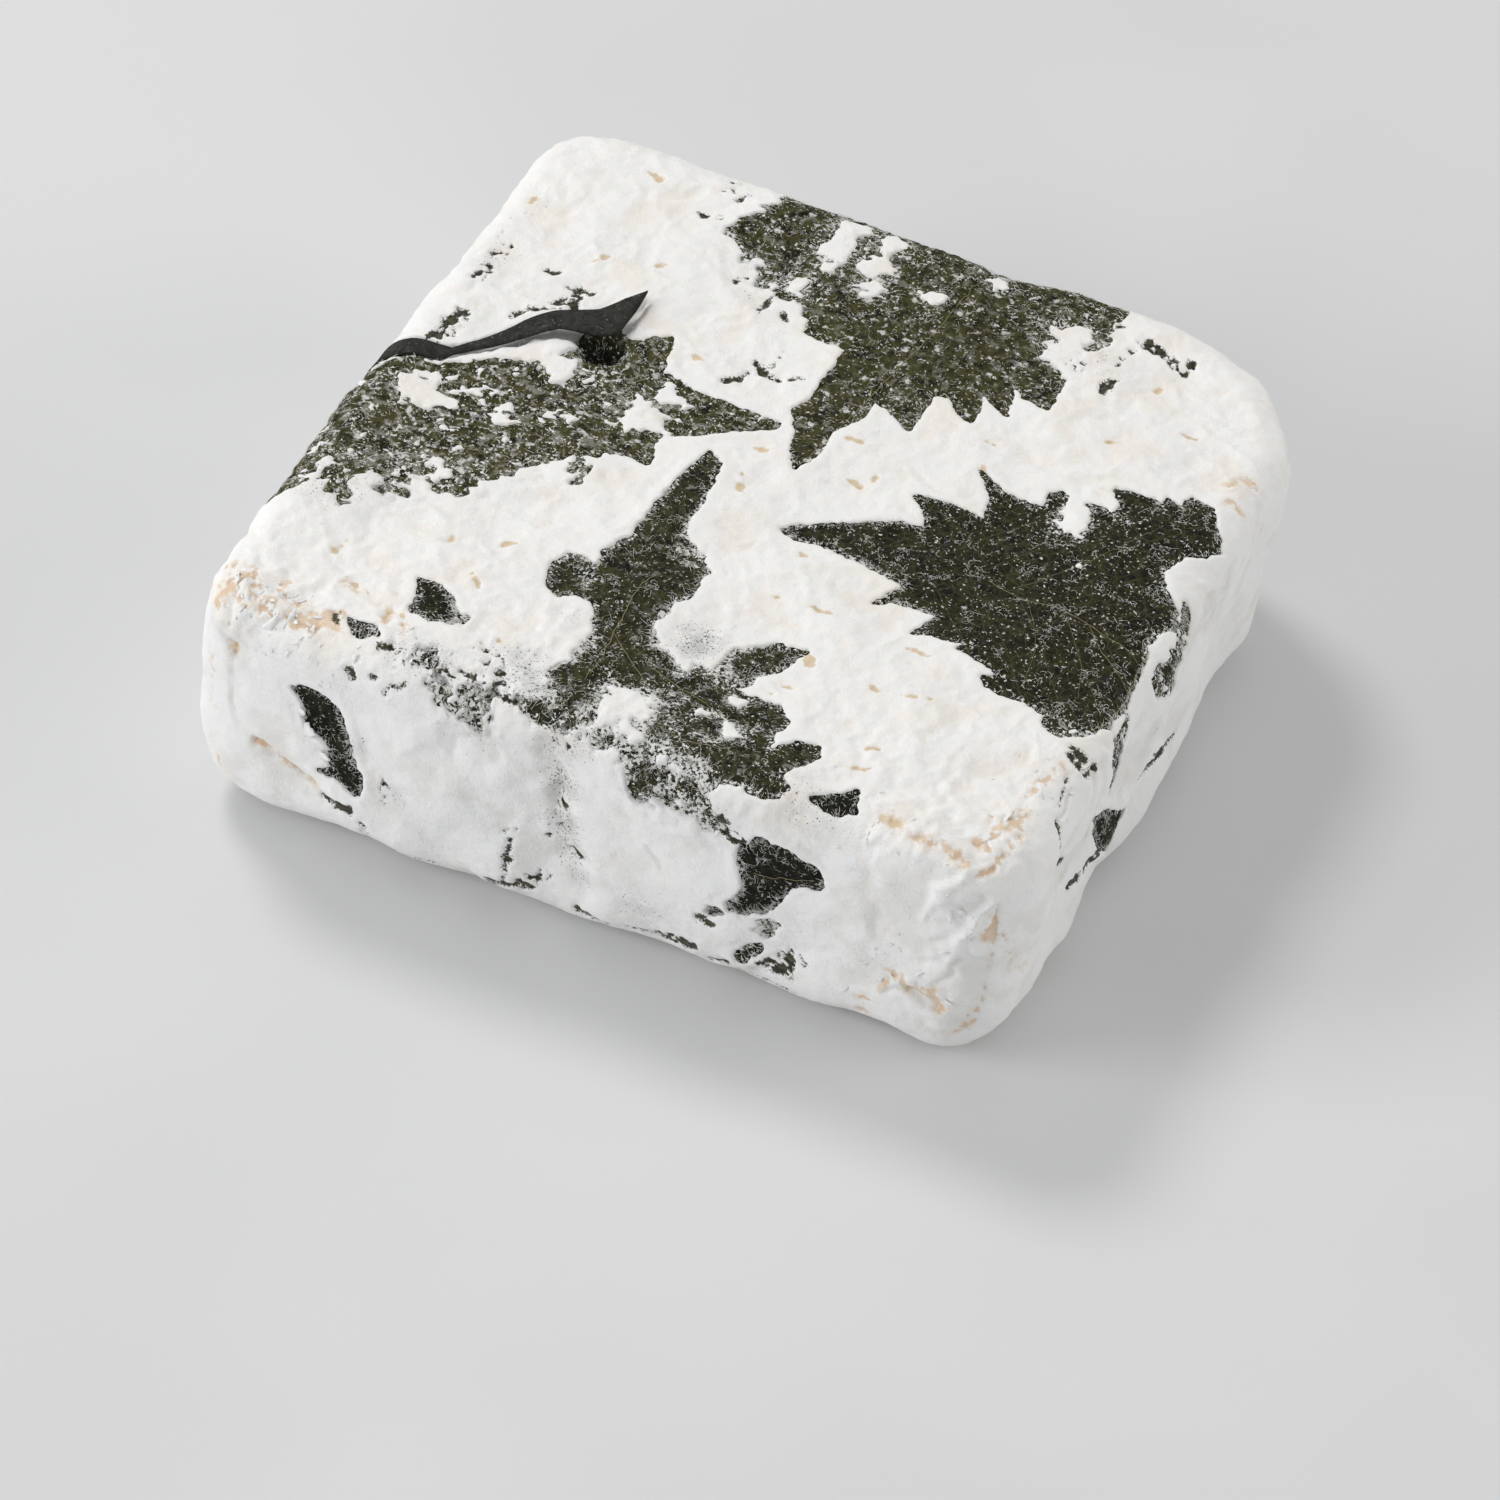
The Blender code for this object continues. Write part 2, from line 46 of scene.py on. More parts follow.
# Slab, in millimetres, as in the part
HALF_SIDE = 50.0
HEIGHT = 32.6
TOP_EDGE_RADIUS = 5.0
BOTTOM_EDGE_RADIUS = 7.0
FLARE = 1.04
BULGE = 0.4
LEAST_CORNER_RADIUS = 1.5
CORNERS = (
    (1, -1, 8.0),
    (1, 1, 21.0),
    (-1, 1, 6.5),
    (-1, -1, 6.0),
)
FLAT_HALF = HALF_SIDE + FLARE - TOP_EDGE_RADIUS
TOP_ARC = TOP_EDGE_RADIUS * math.pi / 2
SIDE_RUN = HEIGHT - TOP_EDGE_RADIUS - BOTTOM_EDGE_RADIUS
BOTTOM_ARC = BOTTOM_EDGE_RADIUS * math.pi / 2
SIDE_START = FLAT_HALF + TOP_ARC

# Low relief, as in the part
LUMP_SIZE = 9.0
LUMP_HEIGHT = 0.8
SWELL_SIZE = 24.0
SWELL_HEIGHT = 0.5
FOOT_FADE = 5.0

# Swellings of the front face, a hollow where negative: height, x, width, z and height of the spot
FRONT_SWELLINGS = (
    (0.9, -22.0, 20.0, 15.0, 16.0),
    (1.0, 6.0, 15.0, 15.0, 15.0),
    (-0.9, -5.0, 7.0, 16.0, 22.0),
)

# Seeds of the random draws
THREAD_SEED = 7
FLAKE_SEED = 19
HAIR_SEED = 23
HIDDEN_BIT_SEED = 29
HIDDEN_SCUFF_SEED = 31

# Bits and scuffs on the two faces that the photograph doesn't show
HIDDEN_BITS = 26
HIDDEN_SCUFFS = 22
HIDDEN_WIDTH = 0.9
HIDDEN_INSET = 14.0

# Fine mesh, and how many points are measured against the leaves at once
CHUNK = 20000
TOP_CELLS = 330
RING_STEP = 0.30
FOOT_STEP = 3
LEAF_CELL = 0.42
FOLD_CELL = 0.9

# Relief of the mould: (size, height) of its tufts, lobes, fine grains and the sides' billows
TUFTS = (4.6, 0.22)
LOBES = (2.3, 0.14)
GRAINS = ((1.3, 0.15), (0.75, 0.09))
BILLOWS = ((9.0, 0.75), (4.0, 0.12))
WARP_SIZE = 5.0
WARP_REACH = 2.0
RIDGE_SHARPNESS = 2.6
SIDE_SHARE = 0.28
MEAN_FLUFF = 0.22

# Ridges of a draining mat on the underside, and where they fade out
MAT_RIDGE = 0.16
MAT_PITCH = 0.8
MAT_HALF = HALF_SIDE - 8.0
MAT_FADE = 3.0

# Layers over the plain slab
RIND_OVER_LEAF = 0.36
RIND_UNDER_LEAF = -0.75
RIND_BY_LEAF = 0.34
CALM_BY_LEAF = 0.6
STEP_OUTSIDE = 0.55
STEP_INSIDE = 0.40
LEAF_LEVEL = 0.12
LEAF_THICKNESS = 0.35
LEAF_SPARE = 0.9
NO_LEAF = -6.0

# Veins of the leaves
VEIN_SPACING = 5.5
VEIN_SLANT = 0.75

# Fibres, and how many random places for them are tried over each square millimetre
FIBRES = 6600
FIBRE_PLACES = 11
HAIR_PLACES = 34
PLACE_SPARE = 0.5
FIBRE_RADIUS = 0.026
FIBRE_JOINTS = 4
HAIRS = 11000
HAIR_RADIUS = 0.026
HAIR_JOINTS = 2
VEIN_JOINTS = 48

# Hollow under the folded leaf, on the chart
HOLLOW_PLACE = np.array([-27.8, 11.2])
HOLLOW_RADIUS = np.array([2.7, 2.5])
HOLLOW_DEPTH = 2.2

# Camera, fitted to the photograph
CAMERA_AZIMUTH = 19.59
CAMERA_ELEVATION = 42.21
CAMERA_ROLL = 6.29
CAMERA_DISTANCE = 874.7
CAMERA_TARGET = (3.84, -10.35, 0.0)
CAMERA_FOCAL_PIXELS = 7464.7
PHOTO_SIDE = 1500
SENSOR = 36.0

# Studio, in metres: the floor, and each light's name, place, size, power and colour
FLOOR_SIDE = 8.0
LIGHT_TARGET = (0, 0, 0.02)
LIGHTS = (
    ("key", (-0.85, 0.50, 1.30), 0.46, 8.1, (1.0, 0.99, 0.97)),
    ("front_fill", (-0.85, -0.70, 0.45), 0.6, 5.3, (0.99, 0.99, 1.0)),
    ("right_fill", (0.85, 0.30, 0.45), 0.7, 1.9, (1.0, 0.97, 0.93)),
)


def on_front(points):
    """Chart points of (x, height) pairs on the upright part of the front face."""
    return [(x, -SIDE_START - (HEIGHT - TOP_EDGE_RADIUS - z)) for x, z in points]


def on_right(points):
    """Chart points of (y, height) pairs on the upright part of the right face."""
    return [(SIDE_START + (HEIGHT - TOP_EDGE_RADIUS - z), y) for y, z in points]


def on_left(points):
    """Chart points of (y, height) pairs on the upright part of the left face."""
    return [(-u, y) for u, y in on_right(points)]


def on_back(points):
    """Chart points of (x, height) pairs on the upright part of the back face."""
    return [(x, -v) for x, v in on_front(points)]


def tooth(root, tip, end):
    """A saw tooth of a leaf's margin: out along a slightly bowed back to the tip, then in to the notch."""
    back = (
        (root[0] + tip[0]) / 2 + 0.12 * (tip[1] - root[1]),
        (root[1] + tip[1]) / 2 - 0.12 * (tip[0] - root[0]),
    )
    return [root, back, tip, end]


# Outline of each leaf and scrap on the chart, in millimetres
LEAVES = {
    "leaf_back": [
        (1.2, 1.8), (2.4, 6.0), (2.2, 10.0), (4.2, 14.0), (4.3, 18.0), (6.5, 17.6),
        (9.8, 15.2), (10.0, 22.0), *tooth((12.0, 22.8), (15.8, 20.2), (15.0, 25.8)),
        (18.8, 23.4), *tooth((17.2, 30.0), (22.8, 26.6), (22.3, 33.0)),
        (18.5, 35.5), (21.0, 39.5), (24.0, 40.0), (24.5, 46.5), (22.0, 53.0), (15.0, 57.0),
        (9.0, 62.0), (3.0, 61.0), (-4.0, 57.0), (-12.0, 58.0), (-19.5, 51.0), (-21.0, 43.0),
        (-23.5, 41.5), (-23.0, 38.0), (-20.0, 35.5), (-18.0, 36.0), (-15.5, 31.5), (-13.0, 29.5),
        (-9.0, 29.8), (-7.5, 25.8), (-2.0, 24.5), (-2.2, 15.0), (-3.4, 12.4), (-1.5, 9.0), (-0.5, 5.0),
    ],
    "leaf_left": [
        (-4.2, 9.3), (-8.0, 9.2), (-15.0, 9.6), (-20.0, 11.0), (-20.4, 14.0), (-21.2, 17.0),
        (-23.5, 15.5), (-25.2, 14.0), (-27.2, 14.8), (-30.2, 12.6), (-29.8, 9.0), (-31.5, 5.0),
        (-36.0, 4.2),
        (-40.0, 2.0), (-42.8, -0.6), (-45.8, -1.3), (-48.0, -2.3),
        (-51.6, -4.2), (-55.2, -5.5), (-59.0, -6.5), (-63.0, -9.0),
        (-60.0, -16.0), (-61.0, -21.0), (-55.0, -25.5), (-53.0, -30.0), (-50.0, -31.0), (-48.3, -29.0),
        (-46.5, -26.2), (-44.6, -25.8), (-44.3, -28.4), (-41.4, -28.8), (-43.5, -24.0), (-40.0, -22.5),
        (-38.5, -24.6), (-36.8, -24.0), (-37.0, -21.0), (-31.0, -21.0), (-29.8, -17.0), (-28.0, -16.2),
        (-26.0, -12.0), (-24.5, -11.0), (-22.0, -9.8), (-19.2, -13.2), (-20.5, -8.0), (-19.5, -5.2),
        (-14.3, -5.4), (-15.5, -1.5), (-14.8, 0.5), (-11.0, 2.5), (-8.0, 5.2), (-4.2, 8.0),
    ],
    "leaf_left_fold": [
        (-49.4, 1.6), (-45.7, 2.3), (-43.1, 2.7), (-40.8, 5.6), (-39.3, 7.7), (-37.4, 10.5),
        (-34.8, 13.3), (-32.8, 14.5), (-30.4, 16.4), (-28.5, 19.3), (-26.5, 21.5), (-26.4, 19.0),
        (-26.5, 15.7), (-26.5, 12.9), (-28.2, 11.6), (-30.3, 10.7), (-32.8, 10.3), (-34.7, 8.8),
        (-37.4, 6.3), (-40.1, 4.1), (-42.4, 2.0), (-43.5, 0.2), (-45.8, -0.3), (-47.9, -1.3),
        (-51.5, -3.2), (-55.0, -4.5), (-56.0, -1.5), (-53.0, 0.6),
    ],
    "leaf_front": [
        (-8.6, -0.4), (-6.8, -1.8), (-6.0, -6.0), (-5.6, -12.0), (-5.2, -15.0), (-2.0, -16.5),
        (-0.8, -19.0), (-0.4, -24.0), (-1.8, -27.0), (-1.8, -32.0), (0.5, -34.5), (4.0, -35.5),
        (7.0, -34.0), (7.5, -31.0), (10.0, -28.0), (11.5, -26.8), (15.0, -26.6), (13.5, -30.0),
        (11.5, -33.0), (10.5, -36.0), (14.0, -36.2), (16.0, -36.0), (17.8, -38.0), (17.3, -41.0),
        (18.0, -43.5), (20.0, -41.0), (22.5, -40.2), (23.2, -42.0), (21.5, -45.0), (20.0, -47.0),
        (22.0, -47.8), (21.0, -49.2), (14.0, -49.6), (13.5, -51.5), (16.6, -55.8), (13.5, -55.4),
        (8.0, -54.6), (4.6, -54.0), (4.4, -50.6), (2.0, -50.4), (-3.0, -49.8), (-6.0, -50.2),
        (-9.8, -49.2), (-6.5, -48.2), (-8.5, -45.5), (-8.2, -43.0), (-7.0, -40.0), (-7.0, -36.0),
        (-8.0, -33.0), (-9.3, -30.5), (-12.5, -30.0), (-13.5, -31.3), (-15.3, -30.0), (-16.5, -27.0),
        (-15.5, -24.0), (-13.0, -24.2), (-12.0, -25.0), (-12.0, -21.5), (-10.3, -18.5), (-10.0, -10.0),
        (-9.3, -4.0),
    ],
    "leaf_right": [
        (4.0, -8.6), (5.5, -6.6), (9.0, -4.5), (12.5, -2.2), (15.5, -0.3),
        *tooth((18.6, 0.2), (15.2, 4.6), (19.8, 5.2)), *tooth((24.0, 4.9), (20.2, 12.4), (24.0, 10.4)),
        (29.0, 10.3), (28.8, 13.0), (30.0, 13.8), (31.0, 12.6), (35.0, 13.2), (36.8, 12.0),
        (37.0, 14.5), (35.4, 16.8), (38.5, 17.0), (40.0, 17.2), (41.8, 15.8), (41.3, 18.2),
        (43.2, 17.6), (43.8, 19.9), (46.5, 18.8), (48.2, 15.7), (49.6, 14.0), (48.5, 11.8),
        (46.5, 10.2), (45.2, 6.6), (46.5, 3.8), (49.2, 1.5), (49.8, -1.3), (48.3, -3.5),
        (48.6, -7.0), (49.6, -9.6), (50.0, -15.3), (49.4, -20.2), (47.5, -24.0), (45.0, -25.5),
        (43.3, -24.6), (42.6, -22.8), (40.0, -21.8), (37.5, -22.2), (35.0, -21.7), (34.2, -20.9),
        (36.5, -19.8), (33.5, -18.8), (30.0, -18.0), (30.8, -16.4),
        *tooth((28.5, -17.0), (24.2, -17.6), (25.8, -13.0)),
        *tooth((22.0, -13.2), (18.2, -14.8), (20.5, -10.4)), (15.0, -9.1), (10.0, -8.3),
    ],
    "scrap_front_left": [
        (-28.5, -36.5), (-25.0, -37.0), (-23.0, -39.4), (-20.8, -40.2), (-22.0, -42.0),
        (-25.0, -43.0), (-26.8, -42.0), (-27.0, -40.0),
    ],
    "scrap_front_edge": [
        (-32.3, -46.2), (-31.3, -46.3), (-29.4, -46.6), (-28.6, -47.3), (-29.7, -48.2), (-31.2, -47.8),
    ],
    "scrap_front_jag": [
        (-23.7, -48.7), (-22.8, -48.0), (-21.6, -47.1), (-21.5, -48.0), (-22.1, -49.0), (-22.2, -49.8),
        (-23.1, -49.3),
    ],
    "scrap_front_ridge": [
        (-20.7, -50.3), (-19.2, -50.5), (-17.4, -50.4), (-16.9, -49.5), (-15.5, -49.1), (-14.2, -49.5),
        (-13.3, -51.1), (-13.5, -52.5), (-13.8, -53.2), (-15.1, -52.9), (-17.3, -52.0), (-19.6, -51.8),
    ],
    "scrap_near_corner": [
        (24.8, -48.0), (27.6, -46.4), (29.0, -44.9), (30.2, -47.6), (28.0, -48.8),
    ],
    "patch_front_left": on_front([
        (-36.9, 23.8), (-35.8, 24.6), (-34.3, 24.9), (-32.7, 24.3), (-31.4, 23.2), (-30.6, 21.6),
        (-29.8, 19.6), (-29.1, 17.7), (-28.8, 15.9), (-27.9, 14.7), (-27.9, 13.0), (-28.6, 11.7),
        (-29.8, 12.0), (-30.9, 12.8), (-33.2, 12.8), (-31.1, 14.2), (-32.1, 15.0), (-31.7, 17.3),
        (-32.9, 18.2), (-34.7, 19.0), (-35.3, 20.1), (-35.0, 21.0), (-36.0, 23.0),
    ]),
    "patch_front_right": on_front([
        (18.6, 24.4), (19.4, 25.1), (20.4, 26.4), (21.0, 26.8), (22.0, 26.3), (24.7, 26.2),
        (26.7, 25.4), (27.5, 25.0), (28.1, 24.2), (28.3, 23.0), (28.1, 22.3), (25.9, 22.1),
        (24.8, 21.3), (23.9, 19.8), (23.2, 18.3), (22.1, 16.0), (20.3, 15.6), (17.3, 14.0),
        (16.1, 13.6), (16.9, 15.1), (18.4, 17.0), (19.1, 18.6), (19.4, 20.8), (18.8, 22.1),
    ]),
    "patch_front_stub": on_front([
        (21.8, 14.7), (22.5, 15.6), (23.5, 14.8), (23.3, 12.8), (22.4, 11.6), (21.7, 12.7),
        (22.1, 14.0),
    ]),
    "patch_front_arc": on_front([
        (18.7, 6.8), (19.5, 7.9), (20.6, 9.3), (21.8, 10.9), (22.3, 10.8), (21.6, 9.2),
        (20.5, 7.6), (19.3, 6.3),
    ]),
    "patch_right_low": on_right([
        (-27.3, 24.4), (-22.0, 20.4), (-16.0, 16.0), (-13.2, 14.2), (-12.9, 11.6), (-14.7, 10.9),
        (-17.5, 11.5), (-20.9, 14.1), (-23.1, 18.2),
    ]),
    "patch_right_high": [
        (49.6, 3.9), (50.6, 3.2), (51.3, 0.6), (51.9, -2.1), (52.4, -4.9), (54.8, -5.8),
        (53.4, -9.0), (51.6, -8.3), (51.3, -5.6), (50.9, -3.0), (50.7, 0.1), (50.0, 2.2),
    ],
    "patch_right_strip": [
        (51.0, -15.8), (51.6, -17.2), (52.4, -19.4), (54.4, -21.4), (57.7, -21.9),
        (55.5, -24.0), (52.6, -23.3), (51.4, -20.5), (50.9, -17.8),
    ],
    "patch_back": on_back([
        (28.0, 21.0), (24.0, 23.6), (17.0, 22.4), (13.0, 18.4), (16.4, 15.6), (15.4, 11.4),
        (20.0, 12.6), (25.0, 11.6), (26.4, 15.8), (30.2, 17.0),
    ]),
    "patch_left": on_left([
        (22.0, 24.4), (27.4, 22.0), (33.4, 17.4), (34.0, 12.4), (29.0, 13.6), (25.6, 10.6),
        (21.8, 13.0), (23.0, 17.6), (19.4, 19.6),
    ]),
}

# Midrib of each large leaf, from its tip to its stalk
MIDRIBS = {
    "leaf_back": ((1.2, 1.8), (5.0, 24.0), (7.0, 62.0)),
    "leaf_left": ((-4.2, 8.6), (-25.0, 0.0), (-60.0, -9.0)),
    "leaf_front": ((-8.0, -1.0), (-5.2, -24.0), (-3.6, -52.0)),
    "leaf_right": ((4.0, -8.6), (24.0, -4.6), (50.0, -6.5)),
}

# Chance of mould over each leaf, 0 for none and 1 for all; the others take the default
MOULD_LEVEL = {
    "leaf_left": 0.37, "leaf_back": 0.20, "leaf_right": 0.0, "leaf_front": 0.06,
    "patch_right_high": 0.44, "patch_right_strip": 0.46, "scrap_front_ridge": 0.32, "scrap_front_edge": 0.2,
    "patch_front_arc": 0.1,
}
MOULD_DEFAULT = 0.0

# Clouds of mould over the leaves: chart point, radius and strength
CLOUDS = (
    (-18.2, 2.2, 2.3, 1.5), (-17.4, 7.4, 1.7, 1.1), (-43.0, -6.0, 2.6, 0.9), (-30.0, 5.5, 1.8, 1.2),
    (-38.0, -4.0, 5.0, 0.22), (-27.0, -4.0, 3.0, 0.3), (-36.0, -19.0, 3.5, 0.35),
    (-22.0, -10.0, 2.0, 0.4), (-33.0, -5.0, 2.0, 0.35), (-46.5, -24.0, 3.0, 0.3), (-10.5, 45.5, 1.9, 1.4),
    (-10.6, 41.0, 1.9, 1.4), (-10.2, 37.6, 1.2, 1.0), (-5.2, 46.0, 2.0, 1.2), (-5.2, 41.0, 2.0, 1.2),
    (-4.4, 36.6, 1.8, 1.0), (3.4, 38.4, 1.7, 1.1), (-12.0, 33.0, 1.8, 0.9), (8.4, 45.8, 1.5, 1.0),
    (20.4, 41.0, 2.4, 1.3), (20.5, 37.5, 2.0, 1.0), (6.0, 21.0, 1.8, 0.5), (1.0, -45.0, 3.2, 1.5),
    (13.0, -42.6, 1.5, 1.3), (11.4, -37.8, 1.4, 1.2), (8.6, -41.4, 1.1, 0.8), (-11.5, -27.0, 1.4, 0.5),
    (4.0, -50.0, 2.6, 0.35), (-3.0, -48.0, 2.0, 0.3), (9.0, -47.0, 4.0, 0.3), (10.5, -52.0, 4.0, 0.45),
    (8.0, -34.0, 2.2, 0.55), (-3.0, -17.0, 2.0, 0.5), (5.0, -39.0, 3.0, 0.25), (33.0, 9.3, 2.3, 1.4),
    (32.5, 12.0, 1.8, 1.2), (36.6, 2.6, 1.0, 0.75), (39.0, 12.0, 1.3, 0.6), (42.5, -8.0, 1.3, 0.45),
    (43.0, 2.0, 1.6, 0.3), (45.0, -23.0, 2.4, 0.4), (37.0, -13.0, 1.4, 0.35), (21.0, -68.5, 1.3, 0.3),
    (20.6, -57.6, 0.9, 0.9),
)

# How mossy each leaf looks: -1 for clean and nearly black, 0 for plain, and 1 for grainy olive
MOSS_LEVEL = {
    "leaf_left": 1.0, "leaf_back": 0.8, "leaf_front": 0.4, "leaf_right": 0.25, "scrap_front_ridge": 0.4,
    "leaf_left_fold": -1.0, "patch_front_right": -0.75, "patch_front_left": -0.55, "scrap_front_left": -0.3,
    "scrap_near_corner": -0.6, "patch_right_low": -0.2, "patch_right_high": 0.5, "patch_right_strip": 0.5,
}

# How ragged a leaf's border is, in millimetres, near each chart point
RAGGED_DEFAULT = 0.12
RAGGED_SPOTS = (
    (-36.0, -20.0, 12.0, 1.0), (-15.0, 33.0, 9.0, 1.3), (-5.0, -48.0, 9.0, 1.0), (10.0, -53.0, 8.0, 1.2),
    (-3.0, -14.0, 7.0, 0.9), (4.0, -33.0, 7.0, 0.9), (20.0, 40.0, 8.0, 1.0), (-30.0, 6.0, 7.0, 0.7),
    (-18.0, -50.0, 9.0, 1.3), (-18.0, 56.0, 14.0, 1.3), (12.0, 58.0, 12.0, 1.3),
    (-60.0, -14.0, 14.0, 1.3), (18.0, -68.0, 5.0, 0.7), (-29.0, -68.0, 4.0, 0.5),
    (-22.0, -10.0, 6.0, 0.8), (52.0, -4.0, 5.0, 0.6), (52.5, -20.0, 4.0, 0.6),
)

# Where the down stands furry over a leaf's border: chart point, radius and strength
FURRY_SPOTS = (
    (18.6, -63.5, 4.0, 0.9), (22.0, -66.5, 3.0, 0.8), (-22.4, -40.4, 2.6, 0.7), (-28.6, -62.0, 3.6, 0.6),
    (-14.0, -26.0, 4.0, 0.5), (-1.0, -29.0, 4.5, 0.6), (10.0, -31.0, 4.0, 0.6), (-9.0, -38.0, 5.0, 0.5),
    (2.0, -45.0, 4.0, 0.6), (12.6, -42.4, 3.0, 0.5), (15.0, -9.5, 5.0, 0.4), (46.0, -25.0, 4.0, 0.5),
    (33.0, 10.0, 4.0, 0.4), (-20.0, 4.0, 6.0, 0.5), (-5.0, 40.0, 8.0, 0.5), (21.0, 38.0, 5.0, 0.5),
)


def grain_gradients():
    """The twelve directions of gradient noise, to the middles of a cube's edges."""
    return np.array([d for d in itertools.product((-1, 0, 1), repeat=3) if np.abs(d).sum() == 2], float)


GRADIENTS = grain_gradients()
HASH_FACTORS = np.array([73856093, 19349663, 83492791], np.int64)
HASH_MASK = 0x7FFFFFFF


def grain(points, size, seed):
    """Smooth random values, mostly -0.6 to 0.6, with features of this size in millimetres."""
    scaled = points / size + 11.7 * seed
    cell = np.floor(scaled).astype(np.int64)
    inner = scaled - cell
    fade = inner**3 * (inner * (inner * 6 - 15) + 10)
    total = np.zeros(len(points))
    for corner in itertools.product((0, 1), repeat=3):
        mixed = (((cell + corner) * HASH_FACTORS).sum(1) + seed * 1013904223) & HASH_MASK
        mixed = ((mixed ^ (mixed >> 13)) * 1274126177) & HASH_MASK
        mixed = ((mixed ^ (mixed >> 15)) * 668265263) & HASH_MASK
        gradient = GRADIENTS[(mixed >> 7) % 12]
        weight = np.prod(np.where(corner, fade, 1 - fade), axis=1)
        total += weight * (gradient * (inner - corner)).sum(1)
    return total


def part_noise(points):
    return np.array([noise.noise(point) for point in points.tolist()])


def smooth_step(value, low, high):
    t = np.clip((value - low) / (high - low), 0.0, 1.0)
    return t * t * (3 - 2 * t)


def bump(value, centre, width):
    return np.exp(-2.77 * ((value - centre) / width) ** 2)


def side_offset(z):
    t = 2 * z / HEIGHT - 1
    return FLARE * t + BULGE * (1 - t * t)


def profile(arc):
    """(outset, height, tilt of the normal from straight up) at each arc length down the edge and side."""
    arc = np.asarray(arc, float)
    on_top = arc <= TOP_ARC
    on_side = arc <= TOP_ARC + SIDE_RUN
    turned = np.clip((arc - TOP_ARC - SIDE_RUN) / BOTTOM_EDGE_RADIUS, 0, math.pi / 2)
    tilt = np.where(on_top, arc / TOP_EDGE_RADIUS, math.pi / 2 + turned)
    upper = HEIGHT - TOP_EDGE_RADIUS * (1 - np.cos(tilt))
    foot = BOTTOM_EDGE_RADIUS * (1 - np.sin(turned))
    lower = np.where(on_side, HEIGHT - TOP_EDGE_RADIUS - (arc - TOP_ARC), foot)
    z = np.where(on_top, upper, lower)
    foot_inset = BOTTOM_EDGE_RADIUS * (1 - np.cos(turned))
    inset = np.where(on_top, TOP_EDGE_RADIUS * (1 - np.sin(tilt)), foot_inset)
    return side_offset(z) - inset, z, tilt


def wrap(chart):
    """Points and outward normals of the plain slab at chart points; the flat top stays square."""
    over = np.abs(chart) - FLAT_HALF
    arc = np.maximum(over.max(1), 0)
    outset, z, tilt = profile(arc)
    flat = arc <= 0
    past_u = ~flat & (over[:, 0] > over[:, 1])
    past_v = ~flat & ~past_u
    side = np.sign(chart)
    reach = HALF_SIDE + outset
    turn = np.zeros(len(chart))
    for side_x, side_y, radius in CORNERS:
        own = np.flatnonzero(~flat & (chart[:, 0] * side_x > 0) & (chart[:, 1] * side_y > 0))
        full = np.maximum(radius + outset[own], LEAST_CORNER_RADIUS)
        beyond = np.abs(chart[own]).min(1) - (reach[own] - full)
        bend = np.arcsin(np.clip(beyond / full, 0, math.sin(math.pi / 4)))
        turn[own] = bend
        reach[own] -= full * (1 - np.cos(bend))
    x = np.where(past_u, side[:, 0] * reach, chart[:, 0])
    y = np.where(past_v, side[:, 1] * reach, chart[:, 1])
    along = np.where(past_u, np.cos(turn), np.sin(turn))
    across = np.where(past_u, np.sin(turn), np.cos(turn))
    normal_x = np.where(flat, 0, side[:, 0] * along * np.sin(tilt))
    normal_y = np.where(flat, 0, side[:, 1] * across * np.sin(tilt))
    points = np.stack([x, y, np.where(flat, HEIGHT, z)], 1)
    return points, np.stack([normal_x, normal_y, np.where(flat, 1.0, np.cos(tilt))], 1)


def relief(points, normals):
    """The part's own low relief: lumps, and the swellings and creases of the front and right faces."""
    total = LUMP_HEIGHT * part_noise(points / LUMP_SIZE)
    total += SWELL_HEIGHT * part_noise(points / SWELL_SIZE + np.array([7.3, 1.9, 4.1]))
    x, y, z = points.T
    front = np.maximum(-normals[:, 1], 0)
    for depth, at_x, width, at_z, tall in FRONT_SWELLINGS:
        total += front * depth * bump(x, at_x, width) * bump(z, at_z, tall)
    slant = y - 0.9 * (z - HEIGHT / 2)
    total += np.maximum(normals[:, 0], 0) * 0.5 * np.sin(slant / 3.4) * bump(slant, -10.0, 46.0)
    return total * smooth_step(z, 0.2, FOOT_FADE)


def signed_distances(points, outline):
    """For each chart point, its distance to the outline, positive inside."""
    start = np.asarray(outline, float)
    along = np.roll(start, -1, axis=0) - start
    offset = points[:, None] - start
    t = np.clip((offset * along).sum(2) / (along * along).sum(1), 0, 1)
    nearest = np.sqrt(((offset - t[..., None] * along) ** 2).sum(2)).min(1)
    end_v = start[:, 1] + along[:, 1]
    spans = (start[:, 1] > points[:, 1:]) != (end_v > points[:, 1:])
    rise = np.where(along[:, 1] == 0, 1.0, along[:, 1])
    crossing = start[:, 0] + (points[:, 1:] - start[:, 1]) * along[:, 0] / rise
    inside = (spans & (points[:, :1] < crossing)).sum(1) % 2 == 1
    return np.where(inside, nearest, -nearest)


def spot_sum(chart, spots):
    """The sum of soft round spots, each a chart point, a radius and a strength."""
    total = np.zeros(len(chart))
    for u, v, radius, strength in spots:
        distance = np.hypot(chart[:, 0] - u, chart[:, 1] - v)
        total += strength * np.exp(-((distance / radius) ** 2))
    return total


